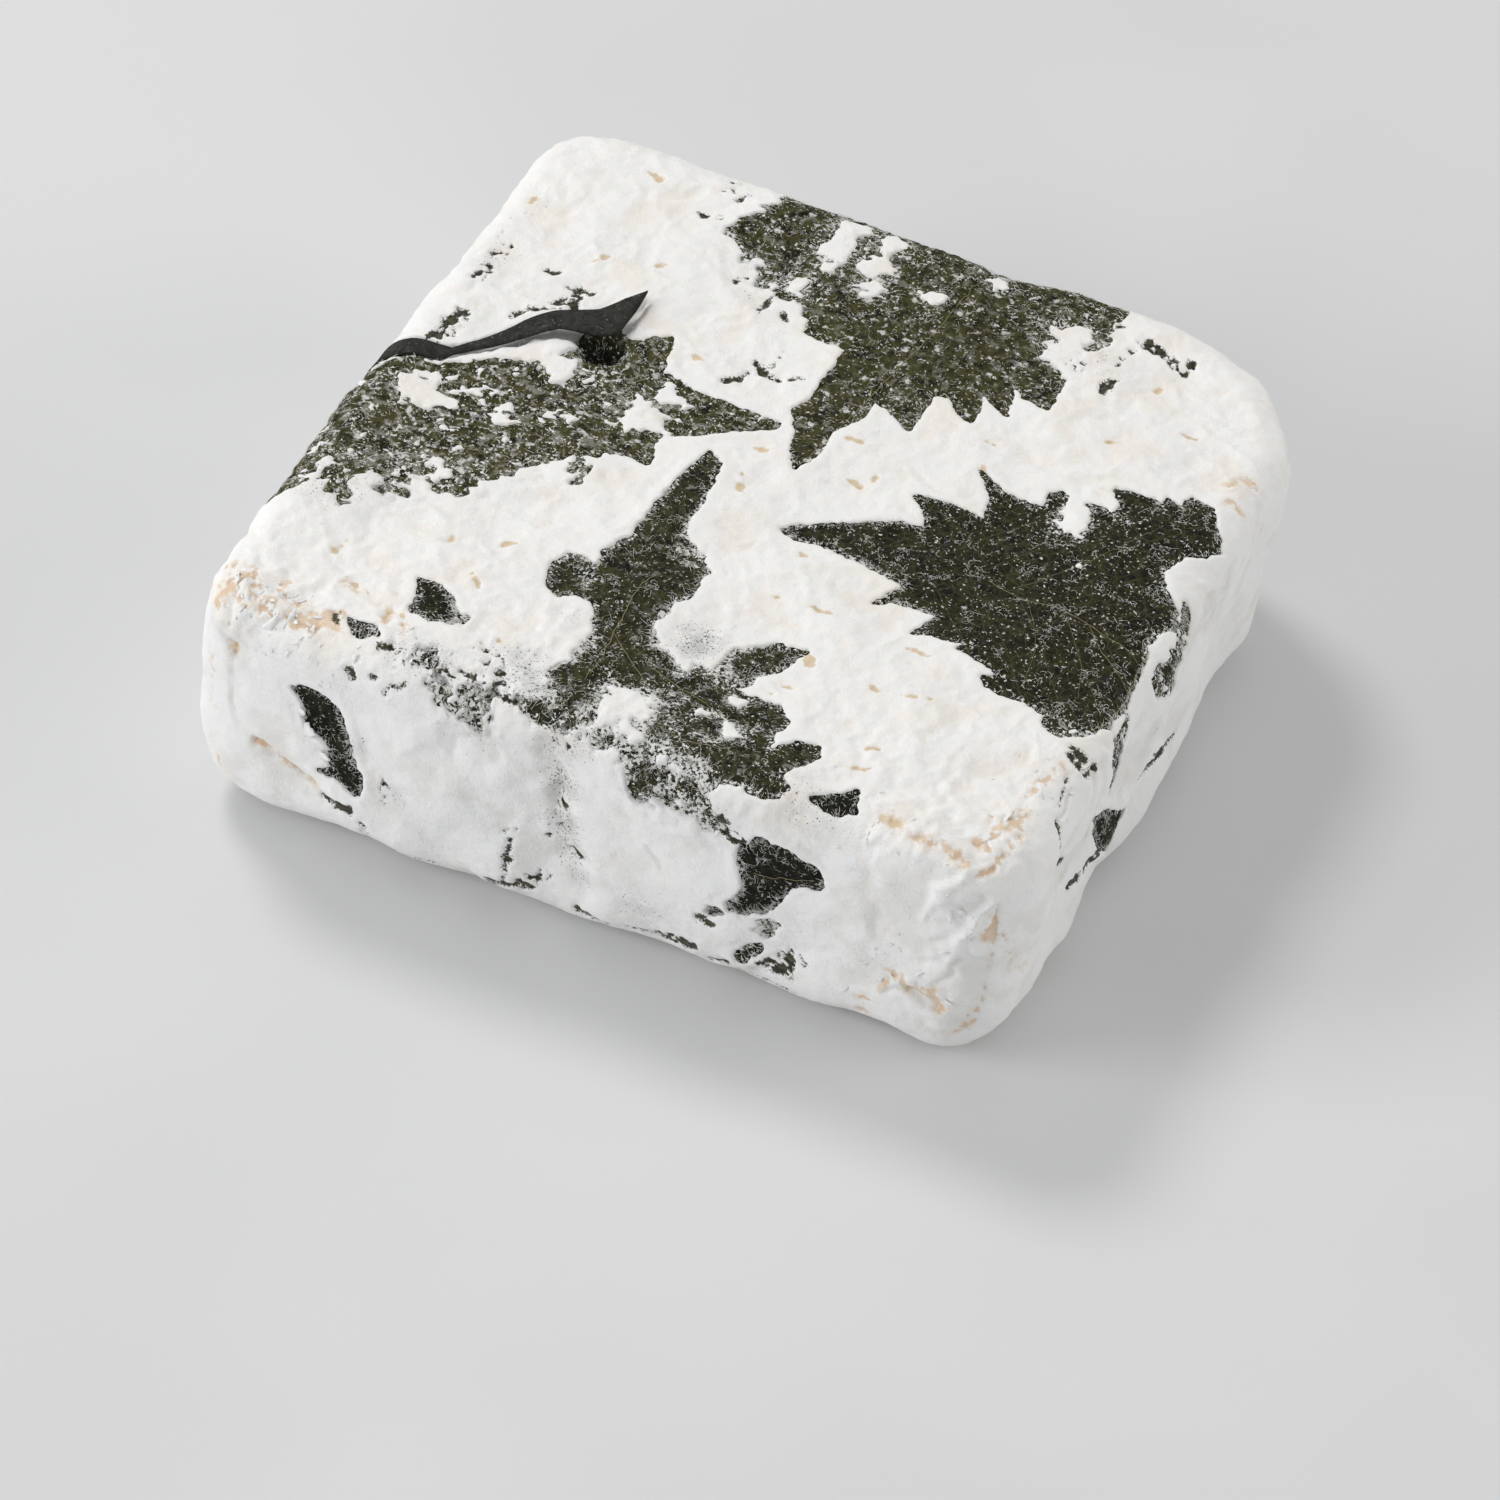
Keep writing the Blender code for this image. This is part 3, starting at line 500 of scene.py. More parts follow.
def cover_fields(chart, points):
    """(millimetres inside the visible leaf, share of mould, raggedness of the border) at chart points."""
    inside = np.full(len(chart), NO_LEAF)
    level = np.full(len(chart), MOULD_DEFAULT)
    for name, outline in LEAVES.items():
        low = np.min(outline, 0) + NO_LEAF
        high = np.max(outline, 0) - NO_LEAF
        near = np.flatnonzero(((chart > low) & (chart < high)).all(1))
        for chunk in np.array_split(near, max(1, len(near) // CHUNK)):
            distance = signed_distances(chart[chunk], outline)
            closer = distance > inside[chunk]
            inside[chunk[closer]] = distance[closer]
            level[chunk[closer]] = MOULD_LEVEL.get(name, MOULD_DEFAULT)
    known = np.flatnonzero(inside > NO_LEAF + 0.1)
    here = points[known]
    mould = level[known] + spot_sum(chart[known], CLOUDS)
    ragged = RAGGED_DEFAULT + spot_sum(chart[known], RAGGED_SPOTS)
    coarse = grain(here, 2.3, 21) + 0.6 * grain(here, 1.05, 22)
    border = inside[known] + ragged * 1.6 * coarse + 0.25 * grain(here, 0.7, 23)
    speckle = 0.8 * grain(here, 2.0, 24) + 0.55 * grain(here, 0.9, 25)
    islands = 1.3 * (speckle - 1.45 * (mould - 0.55))
    inside[known] = np.minimum(border, islands)
    share = np.zeros(len(chart))
    share[known] = mould
    fuzz = np.zeros(len(chart))
    fuzz[known] = ragged + spot_sum(chart[known], FURRY_SPOTS)
    return inside, share, fuzz


def outline_ring(outset, cells):
    """The slab's plan outline at this outset: points, outward directions and the number of the face.

    It starts at the middle of the front-left corner and has the same count of points at every outset."""
    half = HALF_SIDE + outset
    order = (CORNERS[3], CORNERS[0], CORNERS[1], CORNERS[2])
    points = []
    outwards = []
    sides = []
    for index in range(4):
        (x0, y0, r0), (x1, y1, r1) = order[index], order[(index + 1) % 4]
        first = max(r0 + outset, LEAST_CORNER_RADIUS)
        last = max(r1 + outset, LEAST_CORNER_RADIUS)
        facing = -math.pi / 2 + index * math.pi / 2
        quarter = math.pi / 4
        lengths = (r0 * quarter, 2 * HALF_SIDE - r0 - r1, r1 * quarter)
        at = np.arange(cells) / cells * sum(lengths)
        in_first = at < lengths[0]
        in_last = at > lengths[0] + lengths[1]
        turn = np.where(in_first, (at / lengths[0] - 1) * quarter, 0)
        turn = np.where(in_last, (at - lengths[0] - lengths[1]) / lengths[2] * quarter, turn)
        outward = np.stack([np.cos(facing + turn), np.sin(facing + turn)], 1)
        centre0 = np.array([x0 * (half - first), y0 * (half - first)])
        centre1 = np.array([x1 * (half - last), y1 * (half - last)])
        face = np.array([math.cos(facing), math.sin(facing)])
        start, end = centre0 + first * face, centre1 + last * face
        t = np.clip((at - lengths[0]) / lengths[1], 0, 1)[:, None]
        straight = start + (end - start) * t
        point = np.where(in_first[:, None], centre0 + first * outward, straight)
        point = np.where(in_last[:, None], centre1 + last * outward, point)
        points.append(point)
        outwards.append(outward)
        sides.append(np.full(cells, index))
    return np.concatenate(points), np.concatenate(outwards), np.concatenate(sides)


def filled_patch(border, cells):
    """A grid of points filling a closed border of four equal runs, blended from its opposite sides."""
    south = border[:cells + 1]
    east = border[cells:2 * cells + 1]
    north = border[2 * cells:3 * cells + 1][::-1]
    west = np.concatenate([border[3 * cells:], border[:1]])[::-1]
    s = (np.arange(cells + 1) / cells)[None, :, None]
    t = (np.arange(cells + 1) / cells)[:, None, None]
    ruled = (1 - t) * south[None] + t * north[None] + (1 - s) * west[:, None] + s * east[:, None]
    south_ends = (1 - s) * (1 - t) * south[0] + s * (1 - t) * south[-1]
    corners = south_ends + s * t * north[-1] + (1 - s) * t * north[0]
    return ruled - corners


def patch_index(cells, perimeter, first_inner):
    """Vertex numbers of the patch's grid: the ring is its border, and first_inner starts its inside."""
    index = np.zeros((cells + 1, cells + 1), np.int64)
    ring = np.arange(perimeter)
    index[0, :] = ring[:cells + 1]
    index[:, cells] = ring[cells:2 * cells + 1]
    index[cells, ::-1] = ring[2 * cells:3 * cells + 1]
    index[::-1, 0] = np.concatenate([ring[3 * cells:], ring[:1]])
    index[1:-1, 1:-1] = first_inner + np.arange((cells - 1) ** 2).reshape(cells - 1, cells - 1)
    return index


def ring_faces(first, second, count):
    here = np.arange(count)
    following = (here + 1) % count
    return np.stack([first + here, second + here, second + following, first + following], 1)


def rind_arcs():
    top = np.linspace(0, TOP_ARC, int(TOP_ARC / RING_STEP) + 1)
    below = SIDE_RUN + BOTTOM_ARC
    rest = np.linspace(TOP_ARC, TOP_ARC + below, int(below / RING_STEP) + 1)
    return top, rest[1:]


def rind_geometry():
    """Plain points, normals, chart points and the faces of the top and of the sides with the foot."""
    cells = TOP_CELLS
    perimeter = 4 * cells
    top_arcs, side_arcs = rind_arcs()
    points = []
    normals = []
    charts = []
    for arc in np.concatenate([top_arcs, side_arcs]):
        outset, z, tilt = (float(value) for value in profile(arc))
        plan, outward, side = outline_ring(outset, cells)
        points.append(np.column_stack([plan, np.full(perimeter, z)]))
        normals.append(np.column_stack([outward * math.sin(tilt), np.full(perimeter, math.cos(tilt))]))
        reach = FLAT_HALF + arc
        chart = plan.copy()
        for index, axis, sign in ((0, 1, -1), (1, 0, 1), (2, 1, 1), (3, 0, -1)):
            chart[side == index, axis] = sign * reach
        charts.append(chart)
    rings = len(points)
    patch = filled_patch(points[0][:, :2], cells)[1:-1, 1:-1].reshape(-1, 2)
    points.append(np.column_stack([patch, np.full(len(patch), HEIGHT)]))
    normals.append(np.tile([0.0, 0.0, 1.0], (len(patch), 1)))
    charts.append(patch)
    grid = patch_index(cells, perimeter, rings * perimeter)
    top_faces = np.stack([grid[:-1, :-1], grid[:-1, 1:], grid[1:, 1:], grid[1:, :-1]], 2).reshape(-1, 4)
    bands = [ring_faces(row * perimeter, (row + 1) * perimeter, perimeter) for row in range(rings - 1)]
    split = len(top_arcs) - 1
    top_faces = np.concatenate([top_faces] + bands[:split])
    return (
        np.concatenate(points), np.concatenate(normals), np.concatenate(charts),
        top_faces, np.concatenate(bands[split:]), (rings - 1) * perimeter,
    )


def mesh_object(name, points, faces, attributes=None, normals=None):
    """A smooth mesh object from arrays in millimetres, with one value per point for each attribute."""
    used = np.unique(faces)
    renumber = np.zeros(len(points), np.int64)
    renumber[used] = np.arange(len(used))
    faces = renumber[faces]
    mesh = bpy.data.meshes.new(name)
    mesh.vertices.add(len(used))
    mesh.vertices.foreach_set("co", (points[used] * MILLIMETRE).ravel())
    corners = faces.shape[1]
    mesh.loops.add(faces.size)
    mesh.loops.foreach_set("vertex_index", faces.ravel())
    mesh.polygons.add(len(faces))
    mesh.polygons.foreach_set("loop_start", np.arange(len(faces)) * corners)
    mesh.update(calc_edges=True)
    mesh.validate()
    for key, values in (attributes or {}).items():
        layer = mesh.attributes.new(key, "FLOAT", "POINT")
        layer.data.foreach_set("value", np.ascontiguousarray(values[used], np.float32))
    mesh.shade_smooth()
    if normals is not None:
        mesh.normals_split_custom_set_from_vertices(normals[used].tolist())
    made = bpy.data.objects.new(name, mesh)
    bpy.context.scene.collection.objects.link(made)
    return made


def point_normals(points, faces):
    """Area-weighted normals at each point of a mesh of quads."""
    diagonal_a = points[faces[:, 2]] - points[faces[:, 0]]
    diagonal_b = points[faces[:, 3]] - points[faces[:, 1]]
    cross = np.cross(diagonal_a, diagonal_b)
    total = np.zeros_like(points)
    for corner in range(4):
        for axis in range(3):
            total[:, axis] += np.bincount(faces[:, corner], weights=cross[:, axis], minlength=len(points))
    return total / np.maximum(np.linalg.norm(total, axis=1, keepdims=True), 1e-12)


# Ochre flecks where the down is worn through: chart point, length, width and direction in degrees
FLECKS = (
    (-3.0, -4.4, 1.9, 1.0, -70), (-3.8, -1.6, 1.0, 0.6, 80), (15.9, -27.8, 2.4, 1.5, -60),
    (8.0, -11.2, 1.6, 0.7, -35), (14.0, -19.4, 2.6, 0.9, 0), (8.2, -19.6, 1.0, 0.7, 0),
    (26.0, -20.5, 2.8, 0.6, -8), (24.2, -28.6, 2.0, 0.8, -30), (28.4, -27.8, 2.6, 0.6, 18),
    (27.6, -37.8, 2.0, 0.7, 30), (27.4, -41.4, 2.2, 0.7, 20), (15.4, -32.4, 1.2, 0.5, 0),
    (15.2, -34.4, 1.3, 0.5, 0), (34.8, -47.2, 1.8, 0.9, -10), (-3.4, 3.4, 2.0, 1.3, 20),
    (5.0, 9.8, 2.6, 0.8, 10), (8.4, 3.4, 2.4, 0.9, -10), (10.0, 5.0, 1.4, 0.6, 90),
    (-28.2, -28.8, 1.6, 0.8, 70), (-22.2, -25.8, 1.8, 0.9, 50), (-22.6, -34.0, 2.2, 0.9, -50),
    (-38.8, -34.6, 1.2, 0.6, 70), (-39.2, -36.4, 1.2, 0.8, -20), (-16.0, -41.8, 1.0, 0.6, -60),
    (-34.5, -40.6, 2.4, 0.5, -20), (-16.8, 14.8, 1.8, 0.7, -15), (-34.4, 26.4, 2.2, 1.0, 60),
    (-28.0, 28.6, 1.6, 0.8, 50), (31.8, 24.6, 2.0, 0.8, 20), (39.4, 30.5, 1.7, 0.8, 0),
    (32.8, 37.0, 1.6, 1.0, 60), (19.6, 17.4, 1.6, 0.5, 0), (-35.2, 43.6, 2.6, 1.0, -30),
    (-46.4, 33.0, 2.2, 0.9, 80), (20.2, 12.9, 1.2, 0.7, -60), (-27.0, -44.0, 2.0, 0.5, -65),
    (-28.9, -43.8, 1.8, 0.5, 80),
)

# Dark bits on the rind: two ends on the chart, width, and strength, broken below 1. Most are bits of leaf
# that show through; those near v -73 to -79 lie on the rounded foot of the front face and draw a broken
# dark line along it.
BITS = (
    (-27.7, 39.5, -25.7, 40.4, 1.0, 0.78), (-26.8, 45.6, -26.5, 48.1, 1.38, 0.55),
    (-24.9, 44.5, -24.0, 46.1, 0.75, 0.55), (-19.5, 30.0, -18.1, 32.1, 0.88, 0.55),
    (-14.0, 26.2, -13.8, 29.3, 0.7, 0.7), (-11.4, 27.0, -10.3, 26.2, 0.9, 0.9),
    (-12.5, 13.5, -11.5, 14.0, 1.3, 1.2), (-11.5, 14.0, -10.8, 16.1, 0.5, 1.0),
    (-10.6, 17.5, -9.2, 16.6, 1.1, 1.0), (-9.0, 16.3, -7.0, 16.3, 0.6, 0.8),
    (-5.9, 16.8, -4.7, 17.5, 0.6, 0.8), (-8.5, 18.0, -8.5, 20.8, 0.7, 0.6),
    (-35.5, 20.0, -33.5, 20.5, 1.38, 0.78), (-34.6, 19.2, -33.6, 16.0, 1.5, 0.78),
    (-36.1, 16.3, -34.9, 17.4, 1.0, 0.62), (-46.3, 16.5, -46.0, 18.8, 2.0, 0.55),
    (-45.8, 23.1, -46.0, 21.4, 1.75, 0.47), (-39.3, 21.3, -37.6, 21.4, 1.0, 0.47),
    (-39.3, 11.9, -37.2, 14.4, 1.38, 0.62), (-37.2, 14.4, -35.3, 15.9, 1.38, 0.62),
    (-45.6, 3.4, -45.1, 6.4, 2.25, 0.78), (-45.1, 6.4, -44.7, 8.8, 2.0, 0.7),
    (28.7, 43.8, 30.3, 43.6, 1.62, 0.78), (30.3, 43.6, 31.3, 43.1, 1.38, 0.78),
    (32.3, 42.6, 34.4, 41.6, 1.25, 0.62), (34.4, 41.6, 34.3, 43.3, 1.12, 0.62),
    (27.3, 33.4, 27.5, 35.2, 1.5, 0.78), (27.4, 35.6, 26.9, 40.8, 0.62, 0.55),
    (26.9, 40.8, 27.3, 41.9, 1.0, 0.55), (22.1, 36.0, 23.1, 36.1, 1.5, 0.47),
    (-34.2, -46.2, -33.5, -47.2, 0.7, 1.1), (-32.4, -72.6, -30.5, -72.8, 1.0, 1.0),
    (-30.4, -72.9, -29.1, -72.8, 1.7, 1.1), (-29.9, -51.9, -29.5, -52.4, 1.0, 1.1),
    (-27.3, -51.6, -26.6, -51.5, 0.5, 1.0), (-25.4, -52.6, -23.3, -51.3, 0.7, 0.7),
    (-27.6, -48.5, -26.3, -48.0, 0.7, 1.0), (-26.3, -48.1, -23.5, -48.7, 1.2, 0.6),
    (-10.5, -68.5, -8.9, -66.9, 0.6, 0.5), (-9.4, -71.6, -9.4, -71.8, 1.0, 1.1),
    (-9.3, -69.1, -9.8, -75.8, 0.5, 0.9), (-11.5, -76.8, -9.7, -76.1, 1.3, 0.9),
    (-7.9, -76.2, -5.6, -73.6, 1.8, 0.7), (-3.8, -61.2, -3.3, -61.8, 1.3, 0.7),
    (-5.3, -67.1, -4.8, -66.9, 0.6, 1.0), (-3.0, -67.4, -0.8, -68.6, 1.0, 0.6),
    (-27.7, -74.7, -26.8, -77.6, 1.0, 0.6), (-26.8, -77.6, -25.3, -78.8, 0.8, 0.7),
    (-22.9, -78.8, -18.3, -78.1, 1.0, 0.7), (-13.4, -79.1, -10.6, -77.5, 1.0, 0.8),
    (-1.1, -77.3, 4.3, -78.0, 1.0, 0.8), (5.8, -76.7, 9.6, -76.4, 1.1, 0.8),
    (9.6, -76.4, 13.1, -75.3, 2.0, 0.85), (15.6, -77.5, 18.4, -77.5, 1.1, 0.9),
    (19.1, -78.9, 25.9, -78.6, 0.9, 0.9), (14.6, -69.3, 15.8, -69.7, 1.7, 0.8),
    (22.5, -74.3, 24.0, -74.5, 2.1, 0.85), (24.8, -71.9, 25.3, -74.4, 1.7, 0.8),
    (25.5, -70.9, 27.0, -71.7, 1.0, 0.6), (-24.5, -66.2, -24.0, -68.4, 1.6, 0.45),
    (13.1, -52.2, 17.9, -55.8, 2.2, 0.75), (-5.1, -51.5, -2.5, -52.0, 1.0, 0.5),
    (-12.6, -48.8, -8.0, -49.2, 0.8, 0.8), (-8.0, -49.2, -5.4, -50.0, 0.9, 1.0),
    (47.8, -26.7, 49.2, -26.4, 1.1, 1.0), (47.4, -27.6, 49.1, -28.4, 1.1, 0.9),
    (50.2, -28.3, 50.8, -26.1, 0.9, 0.8), (57.8, -35.4, 58.8, -33.5, 1.1, 0.9),
    (57.9, -38.9, 58.1, -36.2, 1.0, 1.0), (67.7, -24.1, 67.7, -21.7, 1.7, 0.9),
    (67.3, -28.0, 67.8, -25.9, 1.5, 0.9), (68.7, 7.0, 67.2, 7.2, 1.6, 1.0),
    (67.0, -12.5, 67.5, -0.3, 1.0, 0.9), (67.5, -0.3, 68.7, 7.0, 0.8, 0.8),
    (48.7, -31.0, 49.5, -34.5, 0.5, 0.9), (50.2, -36.5, 53.0, -38.0, 0.5, 0.9),
    (-16.5, -44.0, -13.0, -47.0, 2.2, 0.5), (-19.5, -48.6, -13.0, -47.8, 1.4, 0.6),
)

# Tan scuffs where the white mould is rubbed off: two ends on the chart, width, and strength
SCUFFS = (
    (-37.8, -48.4, -34.0, -47.1, 2.6, 1.0), (-43.2, -48.1, -41.6, -47.4, 1.4, 0.8),
    (-48.5, -50.5, -47.7, -50.3, 1.8, 0.8), (-47.2, -49.2, -46.6, -46.4, 2.0, 0.9),
    (-44.8, -54.8, -44.8, -55.8, 1.2, 0.8), (-35.7, -40.8, -33.5, -41.6, 0.8, 0.7),
    (-28.6, -45.1, -29.0, -43.0, 1.0, 0.8), (-26.7, -44.6, -25.8, -46.2, 0.8, 0.8),
    (-41.3, -45.9, -38.6, -46.4, 1.4, 0.7), (-41.6, -44.5, -41.1, -43.9, 1.1, 0.7),
    (-48.1, -57.9, -47.9, -66.1, 0.7, 0.5), (-47.4, -71.3, -45.7, -78.0, 0.6, 0.5),
    (-46.0, -44.5, -44.0, -46.5, 2.2, 0.6), (-49.0, -48.0, -48.5, -44.0, 1.6, 0.6),
    (-45.5, -48.5, -41.0, -49.0, 1.4, 0.6), (-41.2, -68.5, -39.9, -68.6, 1.1, 0.9),
    (-39.9, -68.6, -36.9, -70.4, 0.6, 0.8), (-36.9, -70.4, -34.1, -71.7, 0.5, 0.7),
    (33.6, -47.3, 35.3, -47.3, 1.4, 0.9), (37.5, -48.2, 42.0, -48.0, 1.1, 0.8),
    (42.0, -48.0, 44.0, -49.2, 1.2, 0.9), (43.8, -45.5, 45.5, -47.2, 0.9, 0.7),
    (46.1, -50.1, 47.3, -49.3, 1.1, 1.0), (45.5, -42.3, 46.6, -39.3, 1.6, 0.8),
    (46.6, -39.3, 49.2, -48.8, 0.8, 0.7), (48.9, -54.5, 48.2, -58.0, 1.8, 1.0),
    (48.2, -58.0, 49.2, -60.9, 2.2, 1.0), (49.2, -60.9, 49.1, -70.1, 1.4, 0.7),
    (49.6, -55.7, 50.3, -60.2, 0.8, 0.7), (50.3, -70.4, 45.5, -75.1, 0.8, 0.8),
    (36.4, -70.3, 38.1, -68.0, 1.0, 0.8), (37.8, -67.9, 39.5, -68.9, 1.7, 0.6),
    (39.5, -69.2, 42.4, -68.9, 1.2, 0.8), (42.4, -68.9, 43.3, -71.0, 1.2, 1.0),
    (34.2, -73.1, 35.1, -73.1, 0.9, 0.8), (33.7, -76.0, 34.5, -75.9, 1.1, 0.9),
    (56.2, -49.0, 67.3, -43.8, 1.0, 0.4), (47.8, 26.6, 49.1, 25.9, 1.0, 0.9),
    (46.6, 24.1, 46.8, 24.8, 1.0, 0.9), (47.5, 21.3, 49.0, 20.8, 1.0, 0.8),
    (47.5, -30.0, 46.0, -36.0, 1.0, 0.6), (44.0, -41.5, 45.5, -44.0, 1.2, 0.6),
    (48.5, -66.0, 46.5, -73.0, 1.0, 0.6), (64.0, -46.0, 70.0, -40.0, 1.0, 0.4),
)

# Creases of the rind: two ends on the chart, width, and depth, negative for a ridge
CREASE_WAVER = 1.7
CREASES = (
    (-46.0, -49.1, -44.9, -54.9, 1.4, 0.35), (-44.9, -54.9, -43.5, -65.3, 1.6, 0.35),
    (-41.7, -68.6, -34.1, -71.7, 1.1, 0.5), (-34.1, -71.7, -30.5, -72.4, 1.2, 0.3),
    (-38.6, -46.4, -32.8, -49.3, 2.4, 0.3), (-5.8, -52.3, -3.9, -59.7, 3.4, 0.6),
    (-3.9, -59.7, -3.0, -68.9, 3.4, 0.6), (-1.2, -68.1, -0.7, -75.4, 2.8, 0.4),
    (8.2, -61.7, 9.8, -64.1, 0.7, 0.3), (43.6, -50.0, 41.8, -54.8, 1.3, -0.5),
    (41.8, -54.8, 39.9, -57.5, 1.2, -0.35), (47.6, -53.6, 44.5, -58.2, 1.1, -0.5),
    (44.5, -58.2, 43.0, -62.0, 1.1, -0.45), (46.3, -52.8, 43.8, -57.0, 1.6, 0.4),
    (43.4, -58.7, 40.9, -64.8, 1.6, 0.35), (44.3, -62.3, 43.4, -69.3, 1.4, 0.35),
    (39.5, -69.2, 43.1, -71.1, 1.4, 0.55), (36.4, -70.3, 39.4, -68.0, 1.4, -0.45),
    (39.5, -71.2, 44.5, -73.7, 2.0, -0.45), (45.6, -60.0, 47.7, -67.1, 1.4, 0.3),
    (33.5, -48.7, 38.4, -50.4, 1.9, -0.3), (49.7, -51.1, 50.3, -59.3, 1.8, 0.4),
    (39.0, -44.9, 48.1, -49.4, 1.9, 0.3), (33.4, -54.8, 35.8, -61.6, 2.8, 0.35),
    (-10.9, -58.2, -8.1, -64.9, 3.4, -0.35), (6.2, -55.0, 12.4, -56.9, 3.0, -0.45),
    (-17.1, -57.9, -12.6, -51.8, 1.9, 0.35), (-22.0, -60.2, -16.0, -49.4, 2.4, -0.3),
    (50.5, -26.0, 58.5, -37.0, 0.9, 0.5), (48.9, -30.0, 50.5, -37.0, 0.8, 0.4),
    (51.5, 16.0, 60.0, -2.0, 1.4, 0.5), (52.5, 8.0, 64.0, -12.0, 1.5, 0.55),
    (53.5, 0.0, 63.0, -17.0, 1.4, 0.55), (52.5, -10.0, 60.0, -22.0, 1.3, 0.55),
    (52.0, -25.0, 66.0, -34.0, 1.4, 0.5), (56.0, -27.0, 64.0, -32.0, 1.3, 0.5),
    (51.5, 24.0, 58.0, 8.0, 1.4, 0.4), (54.0, 24.0, 66.0, 6.0, 1.6, 0.5),
    (56.0, 34.0, 66.0, 20.0, 1.6, 0.25),
)

# Swellings of the rind, hollows where negative: chart point, radius and height
SWELLINGS = (
    (-34.8, -65.0, 3.0, 0.55), (-30.8, -70.8, 2.0, 0.55), (1.5, -46.0, 3.4, 0.35), (-18.0, 2.5, 2.6, 0.4),
    (-32.0, 8.2, 2.4, 0.4), (-37.0, 5.0, 2.4, 0.35), (-10.5, 45.0, 2.2, 0.5), (-5.0, 43.0, 2.4, 0.5),
    (33.2, 10.0, 2.2, 0.35), (18.6, -71.5, 2.4, 0.4), (4.0, -30.5, 3.5, -0.25), (50.0, 14.0, 3.0, 0.3),
    (51.5, -10.0, 3.0, 0.25), (54.0, -30.0, 3.0, 0.3), (60.0, -30.0, 3.0, 0.4), (-46.0, -52.0, 2.0, 0.35),
    (-41.0, -51.5, 2.0, -0.25), (-42.5, -70.0, 2.5, 0.3), (45.0, -52.0, 2.0, 0.3),
)

# Where the rind is rubbed, with a peach or beige tone: chart point, radius and strength
RUBBED_SPOTS = (
    (-46.0, -46.0, 6.0, 0.5), (-38.0, -48.0, 5.0, 0.35), (42.0, -47.0, 8.0, 0.4), (47.0, -62.0, 7.0, 0.4),
    (34.0, -64.0, 5.0, 0.35), (37.0, -58.0, 5.0, 0.35), (47.0, 24.0, 6.0, 0.4), (-16.0, -64.0, 6.0, 0.2),
    (8.0, -66.0, 5.0, 0.25), (-40.0, -70.0, 6.0, 0.3), (60.0, -42.0, 7.0, 0.3), (30.0, 30.0, 9.0, 0.2),
)

# Grey clouds where the rind is thin and lets specks of the leaf through: chart point, radius and strength
THIN_SPOTS = (
    (-11.9, -45.0, 4.0, 0.8), (-7.6, -47.6, 2.6, 0.8), (-20.4, -47.9, 2.6, 0.7), (-25.4, -47.9, 2.2, 0.6),
    (3.7, -30.6, 3.2, 1.1), (-10.1, -34.4, 2.6, 0.35), (-4.1, -18.7, 2.0, 0.7), (-3.5, -57.9, 2.6, 0.95),
    (-3.2, -64.2, 2.6, 1.0), (-2.0, -69.0, 2.2, 0.7), (-5.0, -53.5, 2.4, 0.6), (-0.9, -72.0, 2.2, 0.5),
    (-13.5, -54.7, 2.4, 0.5), (-28.1, -62.2, 1.6, 0.5), (7.0, -72.6, 3.4, 0.55), (27.9, -49.5, 3.0, 0.35),
    (23.9, -48.6, 3.0, 0.5), (-23.6, -67.4, 2.0, 0.5), (-16.0, 33.0, 5.0, 0.3), (-15.0, 28.0, 3.0, 0.25),
    (15.0, -54.0, 2.5, 0.5), (-40.0, -24.0, 6.0, 0.3), (-46.0, 20.0, 4.0, 0.35), (54.0, 0.0, 3.0, 0.3),
    (58.0, -8.0, 4.0, 0.2), (-2.0, -50.5, 2.5, 0.5), (-45.0, -29.0, 3.0, 0.4), (26.0, 38.0, 4.0, 0.3),
    (9.0, 58.0, 8.0, 0.4), (-16.0, 56.0, 6.0, 0.4),
)


def fleck_field(chart, points):
    """Millimetres inside the nearest fleck, with ragged borders."""
    best = np.full(len(chart), -1.0)
    wobble = 0.5 * grain(points, 0.9, 31)
    for u, v, length, width, direction in FLECKS:
        angle = math.radians(direction)
        offset = chart - np.array([u, v])
        near = np.flatnonzero((np.abs(offset) < length + 1).all(1))
        along = offset[near] @ np.array([math.cos(angle), math.sin(angle)])
        across = offset[near] @ np.array([-math.sin(angle), math.cos(angle)])
        round_distance = 1 - np.hypot(along / (length / 2), across / (width / 2))
        best[near] = np.maximum(best[near], round_distance * width / 2 + wobble[near])
    return best


def hidden_streaks(seed, count):
    """Short streaks over the two faces that the photograph doesn't show, in the tables' terms."""
    random = np.random.default_rng(seed)
    for _ in range(count):
        down = SIDE_START + 2.0 + random.random() * (SIDE_RUN + BOTTOM_ARC - 6.0)
        across = (random.random() - 0.5) * 2 * (HALF_SIDE - HIDDEN_INSET)
        along, drop = random.normal(0, 1.6, 2)
        start, end = (across, down), (across + along, down + 0.5 * drop)
        if random.random() < 0.5:
            start, end = (-start[1], start[0]), (-end[1], end[0])
        yield *start, *end, HIDDEN_WIDTH * (0.5 + random.random()), 0.5 + 0.5 * random.random()


def distances_to_line(chart, start, end, reach):
    """Numbers of the chart points in the box round a straight line, and their distances to the line."""
    start, end = np.array(start), np.array(end)
    along = end - start
    low, high = np.minimum(start, end) - reach, np.maximum(start, end) + reach
    near = np.flatnonzero(((chart > low) & (chart < high)).all(1))
    offset = chart[near] - start
    t = np.clip(offset @ along / (along @ along), 0, 1)
    return near, np.linalg.norm(offset - t[:, None] * along, axis=1)


